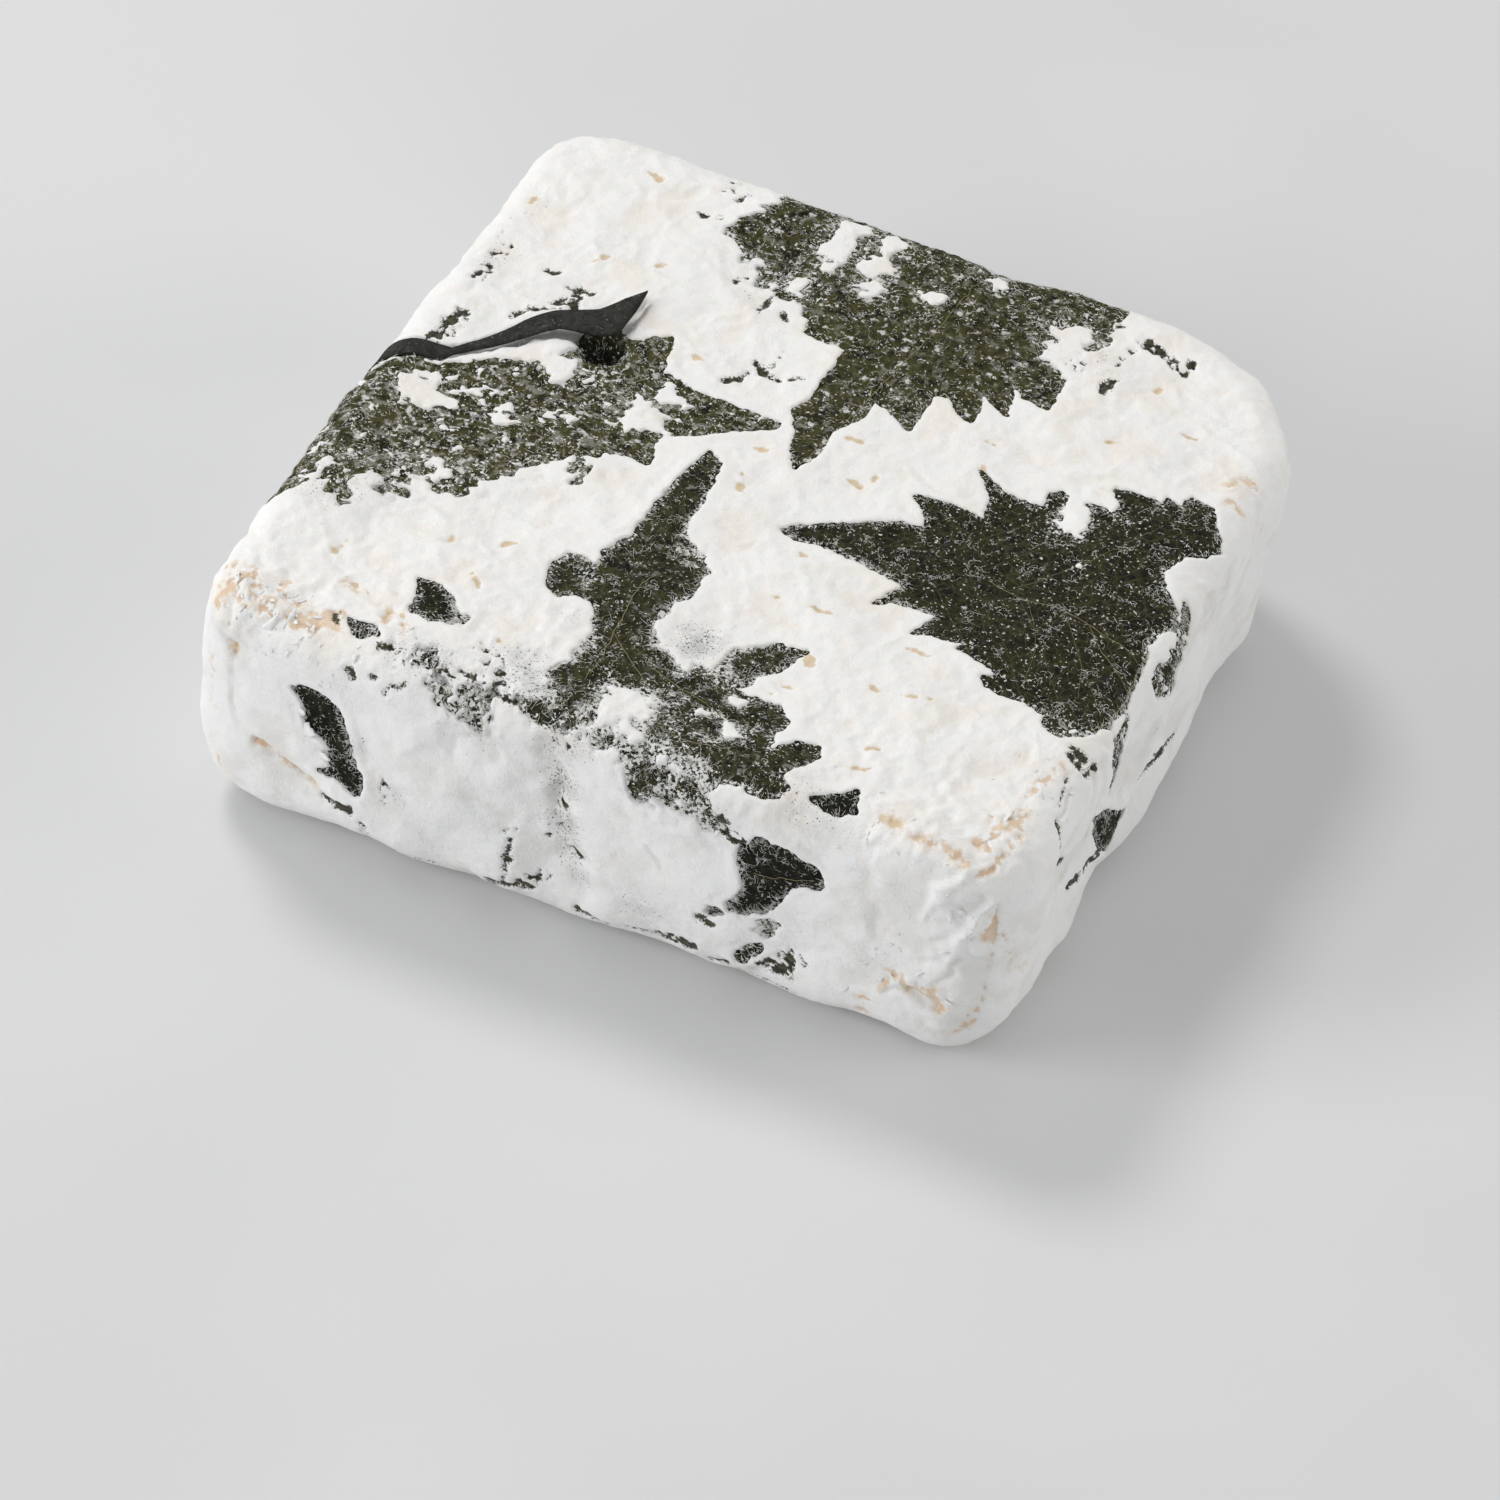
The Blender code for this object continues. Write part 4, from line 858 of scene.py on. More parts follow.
def streak_field(chart, streaks, wobble, grains):
    """Millimetres inside the nearest streak; a streak of low strength is broken up into grains."""
    best = np.full(len(chart), -1.0)
    for u0, v0, u1, v1, width, strength in streaks:
        near, distance = distances_to_line(chart, (u0, v0), (u1, v1), width / 2 + 1.0)
        inside = width / 2 - distance + wobble[near] * (0.2 + 0.35 * width)
        broken = 1.3 * (grains[near] + 1.6 * (strength - 0.62))
        best[near] = np.maximum(best[near], np.minimum(inside, broken))
    return best


def crease_depth(chart):
    flat = np.column_stack([chart, np.zeros(len(chart))])
    chart = chart + CREASE_WAVER * np.column_stack([grain(flat, 2.6, 91), grain(flat, 2.6, 92)])
    total = np.zeros(len(chart))
    for u0, v0, u1, v1, width, depth in CREASES:
        near, distance = distances_to_line(chart, (u0, v0), (u1, v1), 2 * width)
        total[near] += depth * np.exp(-((distance / (width / 2)) ** 2))
    return total


def rind_fluff(points, normals):
    """Fine relief of the mould: billowy tufts on the top, and broader, smoother billows on the sides."""
    warp = np.stack([grain(points, WARP_SIZE, seed) for seed in (5, 6, 7)], 1) * WARP_REACH
    pushed = points + warp
    tufts = TUFTS[1] * (1 - np.abs(grain(pushed, TUFTS[0], 1)) * RIDGE_SHARPNESS)
    lobes = LOBES[1] * (1 - np.abs(grain(pushed, LOBES[0], 8)) * RIDGE_SHARPNESS)
    fine = sum(height * grain(points, size, seed) for (size, height), seed in zip(GRAINS, (2, 3)))
    billows = sum(height * grain(pushed, size, seed) for (size, height), seed in zip(BILLOWS, (9, 10)))
    rugged = 0.6 + 0.5 * smooth_step(-points[:, 1], 26, 44)
    upward = np.clip(normals[:, 2], 0, 1)
    downy = (tufts + rugged * (lobes + fine)) * (SIDE_SHARE + (1 - SIDE_SHARE) * upward)
    return downy + billows * (1 - upward) - MEAN_FLUFF


def rind_level(chart, points, normals):
    """Height of the rind over the part's relief, away from the leaves."""
    return RIND_OVER_LEAF + rind_fluff(points, normals) + spot_sum(chart, SWELLINGS) - crease_depth(chart)


def hollow_depth(chart):
    """Depth of the hollow under the folded leaf."""
    return HOLLOW_DEPTH * np.exp(-(((chart - HOLLOW_PLACE) / HOLLOW_RADIUS) ** 2).sum(1) ** 2)


def rind_tone_and_shade(chart, points, fluff):
    """How dull the rind is, from 0 for white to 1 for bare skin: where it is rubbed and in random clouds,
    with painted shade that dulls its creases and the hollows between its tufts, and a painted highlight
    that whitens its ridges and tuft tops.
    """
    cloud = 0.9 * grain(points, 6.5, 81) + 0.55 * grain(points, 2.6, 82)
    # Painted shade in the creases and between the tufts, painted highlight on the ridges and tuft tops
    hollow = 1.2 * crease_depth(chart) - 0.7 * fluff
    return smooth_step(cloud + hollow + spot_sum(chart, RUBBED_SPOTS), -0.1, 0.8)


def rind_pieces(finish):
    """The whole rind: its top and its sides, each in two halves, and the foot."""
    plain, normals, chart, top_faces, side_faces, foot_first = rind_geometry()
    cover, share, fuzz = cover_fields(chart, plain)
    wobble = grain(plain, 1.0, 61)
    grains = grain(plain, 0.9, 62) + 0.6 * grain(plain, 0.6, 63)
    bits = [*BITS, *hidden_streaks(HIDDEN_BIT_SEED, HIDDEN_BITS)]
    scuffs = [*SCUFFS, *hidden_streaks(HIDDEN_SCUFF_SEED, HIDDEN_SCUFFS)]
    bit = streak_field(chart, bits, wobble, grains)
    scuff = streak_field(chart, scuffs, wobble, grains)
    fleck = fleck_field(chart, plain)
    thin = spot_sum(chart, THIN_SPOTS)
    low = relief(plain, normals)
    above = smooth_step(plain[:, 2], 0.1, 2.5)
    over_leaf = rind_level(chart, plain, normals)
    # The tone holds the rind's own dull patches and the painted shade and highlight of its creases and
    # tufts
    tone = rind_tone_and_shade(chart, plain, rind_fluff(plain, normals))
    over_leaf -= 0.28 * smooth_step(fleck, -0.1, 0.25) + 0.2 * smooth_step(scuff, -0.3, 0.3)
    over_leaf -= 0.3 * smooth_step(bit, -0.25, 0.2) + 0.12 * np.clip(thin, 0, 1)
    by_leaf = smooth_step(cover, -2.2, -0.9)
    over_leaf += CALM_BY_LEAF * by_leaf * (RIND_BY_LEAF - over_leaf)
    over_leaf = np.maximum(over_leaf, RIND_BY_LEAF * by_leaf + over_leaf * (1 - by_leaf))
    shown = smooth_step(cover, -STEP_OUTSIDE, STEP_INSIDE)
    height = low + above * (over_leaf * (1 - shown) + RIND_UNDER_LEAF * shown) - hollow_depth(chart)
    points = plain + normals * height[:, None]
    points[:, 2] = np.maximum(points[:, 2], 0)
    smooth = point_normals(points, np.concatenate([top_faces, side_faces]))
    attributes = {
        "cover": cover, "share": share, "fuzz": fuzz, "fleck": fleck, "scuff": scuff, "bit": bit,
        "thin": thin, "tone": tone, "upward": np.clip(normals[:, 2], 0, 1),
    }
    pieces = [foot_piece(points[foot_first:foot_first + 4 * TOP_CELLS])]
    for name, faces in (("rind_top", top_faces), ("rind_side", side_faces)):
        for half, share_of_faces in enumerate(np.array_split(faces, 2)):
            pieces.append(mesh_object(f"{name}_{half}", points, share_of_faces, attributes, smooth))
    for piece in pieces:
        piece.data.materials.append(finish)
        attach(piece, "root")
        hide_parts("cheese")


def plain_rind(count):
    """What the rind's material reads at points with no leaf, fleck, scuff or thin place near them."""
    bare = np.full(count, -1.0)
    return {
        "cover": bare + NO_LEAF, "share": bare + 1, "fuzz": bare + 1, "fleck": bare, "scuff": bare - 1,
        "bit": bare, "thin": bare + 1, "tone": bare + 1.3, "upward": bare + 1.8,
    }


def foot_piece(border):
    """The underside, with the low ridges that a draining mat leaves, closed along the border."""
    cells = TOP_CELLS
    ring = border[:, :2]
    grid = filled_patch(ring, cells)
    coarse = np.arange(0, cells + 1, FOOT_STEP)
    index = patch_index(cells, 4 * cells, 4 * cells)
    inner = grid[1:-1, 1:-1].reshape(-1, 2)
    plan = np.concatenate([ring, inner])
    depth = np.minimum(np.abs(MAT_HALF - np.abs(plan)).min(1), MAT_FADE) / MAT_FADE
    ridges = MAT_RIDGE * (1 + np.sin(plan[:, 0] / MAT_PITCH)) * depth
    ridges[:4 * cells] = 0
    points = np.column_stack([plan, ridges])
    picked = index[np.ix_(coarse, coarse)]
    quads = np.stack([picked[:-1, :-1], picked[1:, :-1], picked[1:, 1:], picked[:-1, 1:]], 2).reshape(-1, 4)
    return mesh_object("rind_foot", points, quads, plain_rind(len(points)))


def midrib_fields(name, chart):
    """(signed distance to the midrib, distance along it) at chart points."""
    if name not in MIDRIBS:
        return chart[:, 0] - chart[:, 0].mean(), chart[:, 1] - chart[:, 1].min()
    start, middle, end = (np.array(point) for point in MIDRIBS[name])
    axis = (end - start) / np.linalg.norm(end - start)
    side = np.array([-axis[1], axis[0]])
    length = np.linalg.norm(end - start)
    along = (chart - start) @ axis
    bow_at = (middle - start) @ axis
    bow = (middle - start) @ side
    shift = bow * np.sin(np.clip(along / length, 0, 1) * math.pi) / math.sin(bow_at / length * math.pi)
    return (chart - start) @ side - shift, along


def leaf_level(name, chart, points):
    """Height of the leaf's face over the part's relief: puckered between its veins."""
    mid, along = midrib_fields(name, chart)
    pucker = 0.16 * np.abs(grain(points, 2.2, 41)) + 0.06 * grain(points, 1.0, 42)
    rib = -0.12 * np.exp(-((mid / 0.5) ** 2))
    side_phase = (along - VEIN_SLANT * np.abs(mid)) / VEIN_SPACING
    side_rib = -0.06 * np.maximum(np.cos(2 * math.pi * side_phase), 0) ** 8
    crumbs = 0.30 * max(MOSS_LEVEL.get(name, 0), 0) * grain(points, 1.2, 44)
    return LEAF_LEVEL + pucker + crumbs - hollow_depth(chart) + (rib + side_rib if name in MIDRIBS else 0)


def leaf_grid(outline):
    """Grid points over a leaf and a little past it, and the quads that fill them."""
    low = np.min(outline, 0) - LEAF_SPARE - LEAF_CELL
    high = np.max(outline, 0) + LEAF_SPARE + LEAF_CELL
    columns, rows = (np.ceil((high - low) / LEAF_CELL).astype(int) + 1)
    u, v = np.meshgrid(low[0] + np.arange(columns) * LEAF_CELL, low[1] + np.arange(rows) * LEAF_CELL)
    chart = np.column_stack([u.ravel(), v.ravel()])
    distance = np.concatenate([signed_distances(chunk, outline) for chunk in np.array_split(chart, 8)])
    keep = (distance > -LEAF_SPARE).reshape(rows, columns)
    index = np.arange(rows * columns).reshape(rows, columns)
    cells = keep[:-1, :-1] & keep[:-1, 1:] & keep[1:, 1:] & keep[1:, :-1]
    quads = np.stack([index[:-1, :-1], index[:-1, 1:], index[1:, 1:], index[1:, :-1]], 2)[cells]
    return chart, quads


def closed_sheet(over, under, faces):
    """Points and faces of a sheet closed along its border."""
    count = len(over)
    edges = np.concatenate([faces[:, [i, (i + 1) % faces.shape[1]]] for i in range(faces.shape[1])])
    keys = edges[:, 0] * count + edges[:, 1]
    back_keys = edges[:, 1] * count + edges[:, 0]
    border = edges[~np.isin(keys, back_keys)]
    rim = np.column_stack([border[:, 1], border[:, 0], border[:, 0] + count, border[:, 1] + count])
    return np.concatenate([over, under]), faces, faces[:, ::-1] + count, rim


def leaf_piece(name, outline, finish):
    chart, quads = leaf_grid(outline)
    used = np.unique(quads)
    renumber = np.zeros(len(chart), np.int64)
    renumber[used] = np.arange(len(used))
    chart, quads = chart[used], renumber[quads]
    plain, normals = wrap(chart)
    cover, share, fuzz = cover_fields(chart, plain)
    mid, along = midrib_fields(name, chart)
    level = relief(plain, normals) + leaf_level(name, chart, plain)
    # Painted shade: the moss is lowered in the hollow under the folded leaf, so the leaf there is drawn
    # darker and bare of mould
    moss = np.maximum(MOSS_LEVEL.get(name, 0.0) - 2.2 * hollow_depth(chart) / HOLLOW_DEPTH, -0.6)
    over = plain + normals * level[:, None]
    under = plain + normals * (level - LEAF_THICKNESS)[:, None]
    points, top, bottom, rim = closed_sheet(over, under, quads)
    fields = {"cover": cover, "share": share, "fuzz": fuzz, "moss": moss, "mid": mid, "along": along}
    fields = {key: np.tile(values, 2) for key, values in fields.items()}
    piece = mesh_object(name + "_sheet", points, np.concatenate([top, bottom, rim]), fields)
    piece.data.materials.append(finish)
    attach(piece, "root")
    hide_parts(name)


def densified(outline, longest):
    points = []
    for index, start in enumerate(outline):
        end = outline[(index + 1) % len(outline)]
        steps = max(1, math.ceil(math.dist(start, end) / longest))
        for step in range(steps):
            t = step / steps
            points.append((start[0] + (end[0] - start[0]) * t, start[1] + (end[1] - start[1]) * t))
    return np.array(points)


# The folded leaf: its gap to the rind, and the further lift of its free end over the last of its length
FOLD_GAP = 0.45
FOLD_LIFT = 1.3
FOLD_START = 30.0
FOLD_REACH = 14.0
FAR_FROM_BORDER = 3.0
FAR_FROM_MIDRIB = 9.0


def fold_piece(finish):
    """The leaf whose free end curls up off the rind, with its own clean border."""
    name = "leaf_left_fold"
    border = densified(LEAVES[name], FOLD_CELL)
    low, high = border.min(0), border.max(0)
    u, v = np.meshgrid(np.arange(low[0], high[0], FOLD_CELL), np.arange(low[1], high[1], FOLD_CELL))
    inner = np.column_stack([u.ravel(), v.ravel()])
    inner = inner[signed_distances(inner, border) > FOLD_CELL / 2]
    chart = np.concatenate([border, inner])
    edges = [(index, (index + 1) % len(border)) for index in range(len(border))]
    found = delaunay_2d_cdt([Vector(point) for point in chart.tolist()], edges, [], 1, 1e-6)[2]
    faces = np.array([list(face) for face in found])
    plain, normals = wrap(chart)
    reach = np.maximum(0, chart[:, 0] + FOLD_START + FOLD_REACH) / FOLD_REACH
    lift = FOLD_LIFT * smooth_step(reach, 0, 1)
    level = relief(plain, normals) + FOLD_GAP + lift + 0.08 * grain(plain, 2.5, 43)
    over = plain + normals * level[:, None]
    under = plain + normals * (level - LEAF_THICKNESS)[:, None]
    points, top, bottom, rim = closed_sheet(over, under, faces)
    spare = np.zeros(len(points))
    attributes = {
        "cover": spare + FAR_FROM_BORDER, "share": spare, "fuzz": spare, "moss": spare + MOSS_LEVEL[name],
        "mid": spare + FAR_FROM_MIDRIB, "along": spare,
    }
    all_faces = np.concatenate([top, bottom, rim[:, :3], rim[:, [0, 2, 3]]])
    piece = mesh_object(name + "_sheet", points, all_faces, attributes)
    piece.data.materials.append(finish)
    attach(piece, "root")
    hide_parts(name)


# Torn flakes of rind: chart point of the root, length, width, direction in degrees, and lift of the tip
FLAKES = (
    (-41.0, -52.0, 3.2, 1.4, 95, 0.9), (-44.0, -48.9, 1.8, 1.0, 100, 0.6),
    (-46.5, -48.0, 1.6, 0.9, 80, 0.5), (-38.5, -49.2, 1.7, 1.0, 110, 0.5),
    (-30.2, -51.5, 1.6, 1.0, 60, 0.4), (-40.3, -46.9, 1.7, 0.8, 150, 0.5),
    (-35.9, -50.9, 1.4, 0.8, 200, 0.4), (-36.6, -60.4, 1.6, 1.5, -8, 0.4),
    (-35.4, -62.8, 2.0, 1.8, -14, 0.4), (-33.4, -65.8, 1.9, 1.5, -5, 0.4),
    (42.9, -54.2, 2.6, 1.0, -60, 0.5), (45.4, -56.5, 2.2, 1.2, 120, 0.6),
    (44.3, -59.8, 2.0, 0.9, -120, 0.5), (41.6, -65.0, 2.2, 0.9, -110, 0.5),
    (35.6, -67.9, 1.8, 1.0, 170, 0.4), (33.0, -71.5, 1.8, 1.0, 250, 0.4),
    (43.3, -70.0, 1.6, 1.0, 30, 0.5), (37.5, -50.4, 1.6, 0.8, 180, 0.4),
    (33.3, -50.9, 1.2, 0.8, 160, 0.3), (47.4, -36.5, 1.8, 1.2, 100, 0.5),
    (45.0, -42.0, 2.0, 1.0, 70, 0.4),
)

# Fields of small flakes: chart point, reach and count
FLAKE_FIELDS = (
    (-42.0, -48.6, 2.6, 44), (-34.0, -50.0, 3.0, 16), (42.0, -56.0, 3.0, 14), (39.0, -66.0, 3.0, 10),
    (-20.0, -50.5, 4.0, 18), (46.0, -30.0, 3.0, 10), (30.0, -48.5, 3.0, 10), (-46.0, 30.0, 3.0, 10),
    (10.0, 54.0, 4.0, 10), (-62.0, 20.0, 5.0, 10), (-30.0, 60.0, 5.0, 10),
)
FLAKE_ROWS = 6
FLAKE_COLUMNS = 4
FLAKE_THICKNESS = 0.12
FLAKE_ROOT_DEPTH = 0.35
FLAKE_SPARE = 1.5


def clear_of_corners(place):
    """Whether a chart point is on the slab, not in the gap beyond an upright corner."""
    for side_x, side_y, radius in CORNERS:
        beyond = np.array([side_x, side_y]) * place - (HALF_SIDE - radius)
        if (beyond > 0).all() and beyond.min() > radius * math.sin(math.pi / 4) - FLAKE_SPARE:
            return False
    return True


def scattered_flakes(random):
    """The small flakes of every field, in the same terms as the large ones."""
    for u, v, reach, count in FLAKE_FIELDS:
        for _ in range(count):
            length = 0.5 + 0.8 * random.random()
            place = np.array([u, v]) + np.clip(random.normal(0, reach, 2), -2 * reach, 2 * reach)
            direction = random.random() * 360
            if clear_of_corners(place):
                yield *place, length, length * 0.7, direction, 0.08 + 0.14 * random.random()


def rind_flakes(finish):
    """Thin curled flakes, rooted under the rind's surface and narrowing to a lifted tip."""
    random = np.random.default_rng(FLAKE_SEED)
    flakes = np.array(list(FLAKES) + list(scattered_flakes(random)))
    u, v, length, width, direction, lift = (column[:, None, None] for column in flakes.T)
    angle = np.radians(direction)
    t = np.linspace(0, 1, FLAKE_ROWS)[None, :, None]
    s = np.linspace(-0.5, 0.5, FLAKE_COLUMNS)[None, None, :]
    along = length * (t + 0.12 * random.normal(0, 1, (len(flakes), FLAKE_ROWS, 1)) * t * (1 - t))
    across = width * s * (1 - t**1.5 * 0.85) * (1 + 0.3 * random.normal(0, 1, (len(flakes), FLAKE_ROWS, 1)))
    across = across + 0.25 * length * t * t * random.normal(0, 1, (len(flakes), 1, 1))
    at_u = u + along * np.cos(angle) - across * np.sin(angle)
    at_v = v + along * np.sin(angle) + across * np.cos(angle)
    chart = np.stack([at_u.ravel(), at_v.ravel()], 1)
    plain, normals = wrap(chart)
    curl = lift * t**1.6 * (1 - 0.8 * s * s) - FLAKE_ROOT_DEPTH * (1 - t) ** 2
    level = relief(plain, normals) + rind_level(chart, plain, normals) + curl.ravel()
    over = plain + normals * level[:, None]
    under = over - normals * FLAKE_THICKNESS
    cell = np.arange(FLAKE_ROWS * FLAKE_COLUMNS).reshape(FLAKE_ROWS, FLAKE_COLUMNS)
    quads = np.stack([cell[:-1, :-1], cell[1:, :-1], cell[1:, 1:], cell[:-1, 1:]], 2).reshape(-1, 4)
    quads = (quads[None] + (np.arange(len(flakes)) * cell.size)[:, None, None]).reshape(-1, 4)
    points, top, bottom, rim = closed_sheet(over, under, quads)
    piece = mesh_object("rind_flakes", points, np.concatenate([top, bottom, rim]), plain_rind(len(points)))
    piece.data.materials.append(finish)
    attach(piece, "root")


def tube_piece(name, line, lift, radii, finish):
    """One mesh of three-sided tubes along lines of points, (tubes, joints, 3), with a radius a joint."""
    count, joints = line.shape[:2]
    tangent = np.gradient(line, axis=1)
    tangent /= np.linalg.norm(tangent, axis=2, keepdims=True)
    across = np.cross(lift, tangent)
    across /= np.maximum(np.linalg.norm(across, axis=2, keepdims=True), 1e-9)
    upward = np.cross(tangent, across)
    rings = []
    for corner in range(3):
        turned = 2 * math.pi * corner / 3 + math.pi / 2
        rings.append(line + radii[..., None] * (math.cos(turned) * across + math.sin(turned) * upward))
    points = np.stack(rings, 2).reshape(-1, 3)
    per_tube = 3 * joints
    pattern = []
    for joint in range(joints - 1):
        for corner in range(3):
            a = 3 * joint + corner
            b = 3 * joint + (corner + 1) % 3
            pattern += [(a, b, b + 3), (a, b + 3, a + 3)]
    pattern += [(2, 1, 0), (per_tube - 3, per_tube - 2, per_tube - 1)]
    faces = (np.array(pattern)[None] + (np.arange(count) * per_tube)[:, None, None]).reshape(-1, 3)
    piece = mesh_object(name, points, faces)
    piece.data.materials.append(finish)
    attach(piece, "root")


def leaf_samples(random, density):
    """Random chart points over each leaf and a little past it, with their cover fields."""
    for name, outline in LEAVES.items():
        if name == "leaf_left_fold":
            continue
        low, high = np.min(outline, 0) - PLACE_SPARE, np.max(outline, 0) + PLACE_SPARE
        chart = low + random.random((int(np.prod(high - low) * density), 2)) * (high - low)
        plain, _ = wrap(chart)
        yield MOSS_LEVEL.get(name, 0.0), chart, plain, *cover_fields(chart, plain)


def thread_roots(random):
    """Chart points of threads: in clumps over the leaves, and thickest along their ragged borders."""
    roots = []
    for moss, chart, plain, cover, _, fuzz in leaf_samples(random, FIBRE_PLACES):
        border = np.exp(-((cover - 0.15) / (0.25 + 0.5 * fuzz)) ** 2)
        clumps = smooth_step(grain(plain, 2.6, 51) + 0.7 * grain(plain, 1.1, 52), 0.18, 0.50)
        calm = min(1.0, 1.15 + moss, 1.25 - 1.1 * moss)
        chance = calm * (0.8 * clumps + (0.08 + 0.3 * fuzz) * border)
        keep = (cover > -0.3) & (random.random(len(chart)) < chance)
        roots.append(chart[keep])
    roots = np.concatenate(roots)
    return roots[random.permutation(len(roots))[:FIBRES]]


def curled_lines(random, chart, angle, length, turn, joints, arch):
    """Lines over the leaves from these chart points, (lines, joints + 1, 3), arched up in their middle."""
    step = length / joints
    line = []
    for joint in range(joints + 1):
        plain, normals = wrap(chart)
        rise = 0.06 + arch * math.sin(math.pi * joint / joints) * (0.3 + random.random(len(chart)))
        level = relief(plain, normals) + leaf_level("", chart, plain) + rise
        line.append(plain + normals * level[:, None])
        chart = chart + step[:, None] * np.stack([np.cos(angle), np.sin(angle)], 1)
        angle = angle + turn / joints
    return np.stack(line, 1)


def mould_threads(finish):
    """Curled threads of mould that lie on the leaves."""
    random = np.random.default_rng(THREAD_SEED)
    chart = thread_roots(random)
    count = len(chart)
    lift = np.broadcast_to(wrap(chart)[1][:, None], (count, FIBRE_JOINTS + 1, 3))
    length = 0.25 + 1.1 * random.random(count) ** 2
    turn = random.normal(0, 2.4, count)
    line = curled_lines(random, chart, random.random(count) * 2 * math.pi, length, turn, FIBRE_JOINTS, 0.14)
    girth = FIBRE_RADIUS * (0.5 + random.random(count))
    taper = np.linspace(1.0, 0.4, FIBRE_JOINTS + 1) * girth[:, None]
    tube_piece("mould_threads", line, lift, taper, finish)


def furry_borders(finish):
    """Fine hairs of the down that reach from the rind over the leaves' borders."""
    random = np.random.default_rng(HAIR_SEED)
    roots = []
    angles = []
    lengths = []
    for moss, chart, _, cover, _, fuzz in leaf_samples(random, HAIR_PLACES):
        calm = 1 - 0.8 * max(moss, 0)
        keep = (cover > -0.35) & (cover < 0.12) & (random.random(len(chart)) < calm * (0.35 + 0.65 * fuzz))
        chart, cover = chart[keep], cover[keep]
        angle = random.random(len(chart)) * 2 * math.pi
        length = (0.35 + 0.7 * random.random(len(chart))) * (0.75 + 0.6 * np.minimum(fuzz[keep], 1))
        tip = chart + length[:, None] * np.stack([np.cos(angle), np.sin(angle)], 1)
        inward = cover_fields(tip, wrap(tip)[0])[0] > cover + 0.45 * length
        roots.append(chart[inward])
        angles.append(angle[inward])
        lengths.append(length[inward])
    order = random.permutation(sum(len(part) for part in roots))[:HAIRS]
    chart = np.concatenate(roots)[order]
    count = len(chart)
    lift = np.broadcast_to(wrap(chart)[1][:, None], (count, HAIR_JOINTS + 1, 3))
    turn = random.normal(0, 0.6, count)
    angle, length = np.concatenate(angles)[order], np.concatenate(lengths)[order]
    line = curled_lines(random, chart, angle, length, turn, HAIR_JOINTS, 0.16)
    girth = HAIR_RADIUS * (0.6 + 0.8 * random.random(count))
    taper = np.linspace(1.3, 0.4, HAIR_JOINTS + 1) * girth[:, None]
    tube_piece("furry_borders", line, lift, taper, finish)


# Pale veins that stand out of the leaves: the leaf, the thickness, and points of the chart
VEINS = (
    ("leaf_front", 0.075,
     ((-5.2, -22.5), (-6.0, -26.0), (-5.6, -31.0), (-5.3, -35.0), (-4.6, -39.0), (-4.8, -43.5))),
    ("leaf_front", 0.05, ((-5.4, -34.0), (-2.5, -37.0), (0.5, -39.5), (4.0, -42.0))),
    ("leaf_front", 0.045, ((-5.6, -30.0), (-8.0, -33.0), (-9.5, -31.0))),
    ("leaf_front", 0.045, ((0.0, -37.0), (4.0, -38.5), (8.0, -39.5), (12.0, -41.0))),
    ("leaf_front", 0.04, ((5.0, -46.0), (9.0, -46.5), (14.0, -45.5))),
    ("leaf_right", 0.05,
     ((28.0, -4.0), (33.0, -5.8), (37.0, -5.5), (41.0, -6.4), (45.5, -7.4), (49.0, -8.6))),
    ("leaf_right", 0.045, ((41.5, -6.6), (44.0, -9.6), (46.5, -11.6), (49.4, -13.5))),
    ("leaf_right", 0.028, ((38.0, -5.8), (41.0, -10.0), (43.5, -14.0), (45.0, -19.0))),
    ("leaf_right", 0.024, ((33.5, -5.8), (36.0, -10.0), (38.0, -14.5), (38.5, -18.5))),
    ("leaf_right", 0.026, ((30.5, -5.0), (34.0, -1.0), (37.0, 3.5), (40.5, 9.0), (42.5, 13.0))),
    ("leaf_right", 0.085,
     ((48.9, -6.0), (49.3, -9.6), (49.8, -12.5), (49.7, -15.3), (49.2, -19.8), (48.0, -22.5))),
    ("leaf_back", 0.07, ((1.4, 3.0), (2.6, 10.0), (3.6, 18.0), (5.0, 27.0), (6.0, 36.0), (6.6, 46.0))),
    ("leaf_left", 0.06, ((-31.5, -12.2), (-33.5, -12.6), (-35.8, -12.4))),
    ("patch_front_right", 0.045, ((20.4, -60.0), (22.5, -59.9), (25.0, -59.0), (27.4, -58.2))),
)


def vein_lines(finish):
    """Thin raised veins, laid along smooth lines over the leaves."""
    lines = []
    lifts = []
    radii = []
    for name, radius, path in VEINS:
        path = np.array(path)
        at = np.linspace(0, len(path) - 1, VEIN_JOINTS)
        chart = np.column_stack([np.interp(at, np.arange(len(path)), path[:, axis]) for axis in range(2)])
        for _ in range(6):
            chart[1:-1] = (chart[:-2] + 2 * chart[1:-1] + chart[2:]) / 4
        waver = grain(wrap(chart)[0], 1.2, 71)
        chart += 0.22 * np.column_stack([waver, -waver])
        plain, normals = wrap(chart)
        level = relief(plain, normals) + leaf_level(name, chart, plain) + 0.4 * radius
        lines.append(plain + normals * level[:, None])
        lifts.append(normals)
        radii.append(radius * (0.35 + 0.65 * np.sin(np.linspace(0.25, math.pi - 0.1, VEIN_JOINTS)) ** 0.5))
    tube_piece("leaf_veins", np.stack(lines), np.stack(lifts), np.stack(radii), finish)


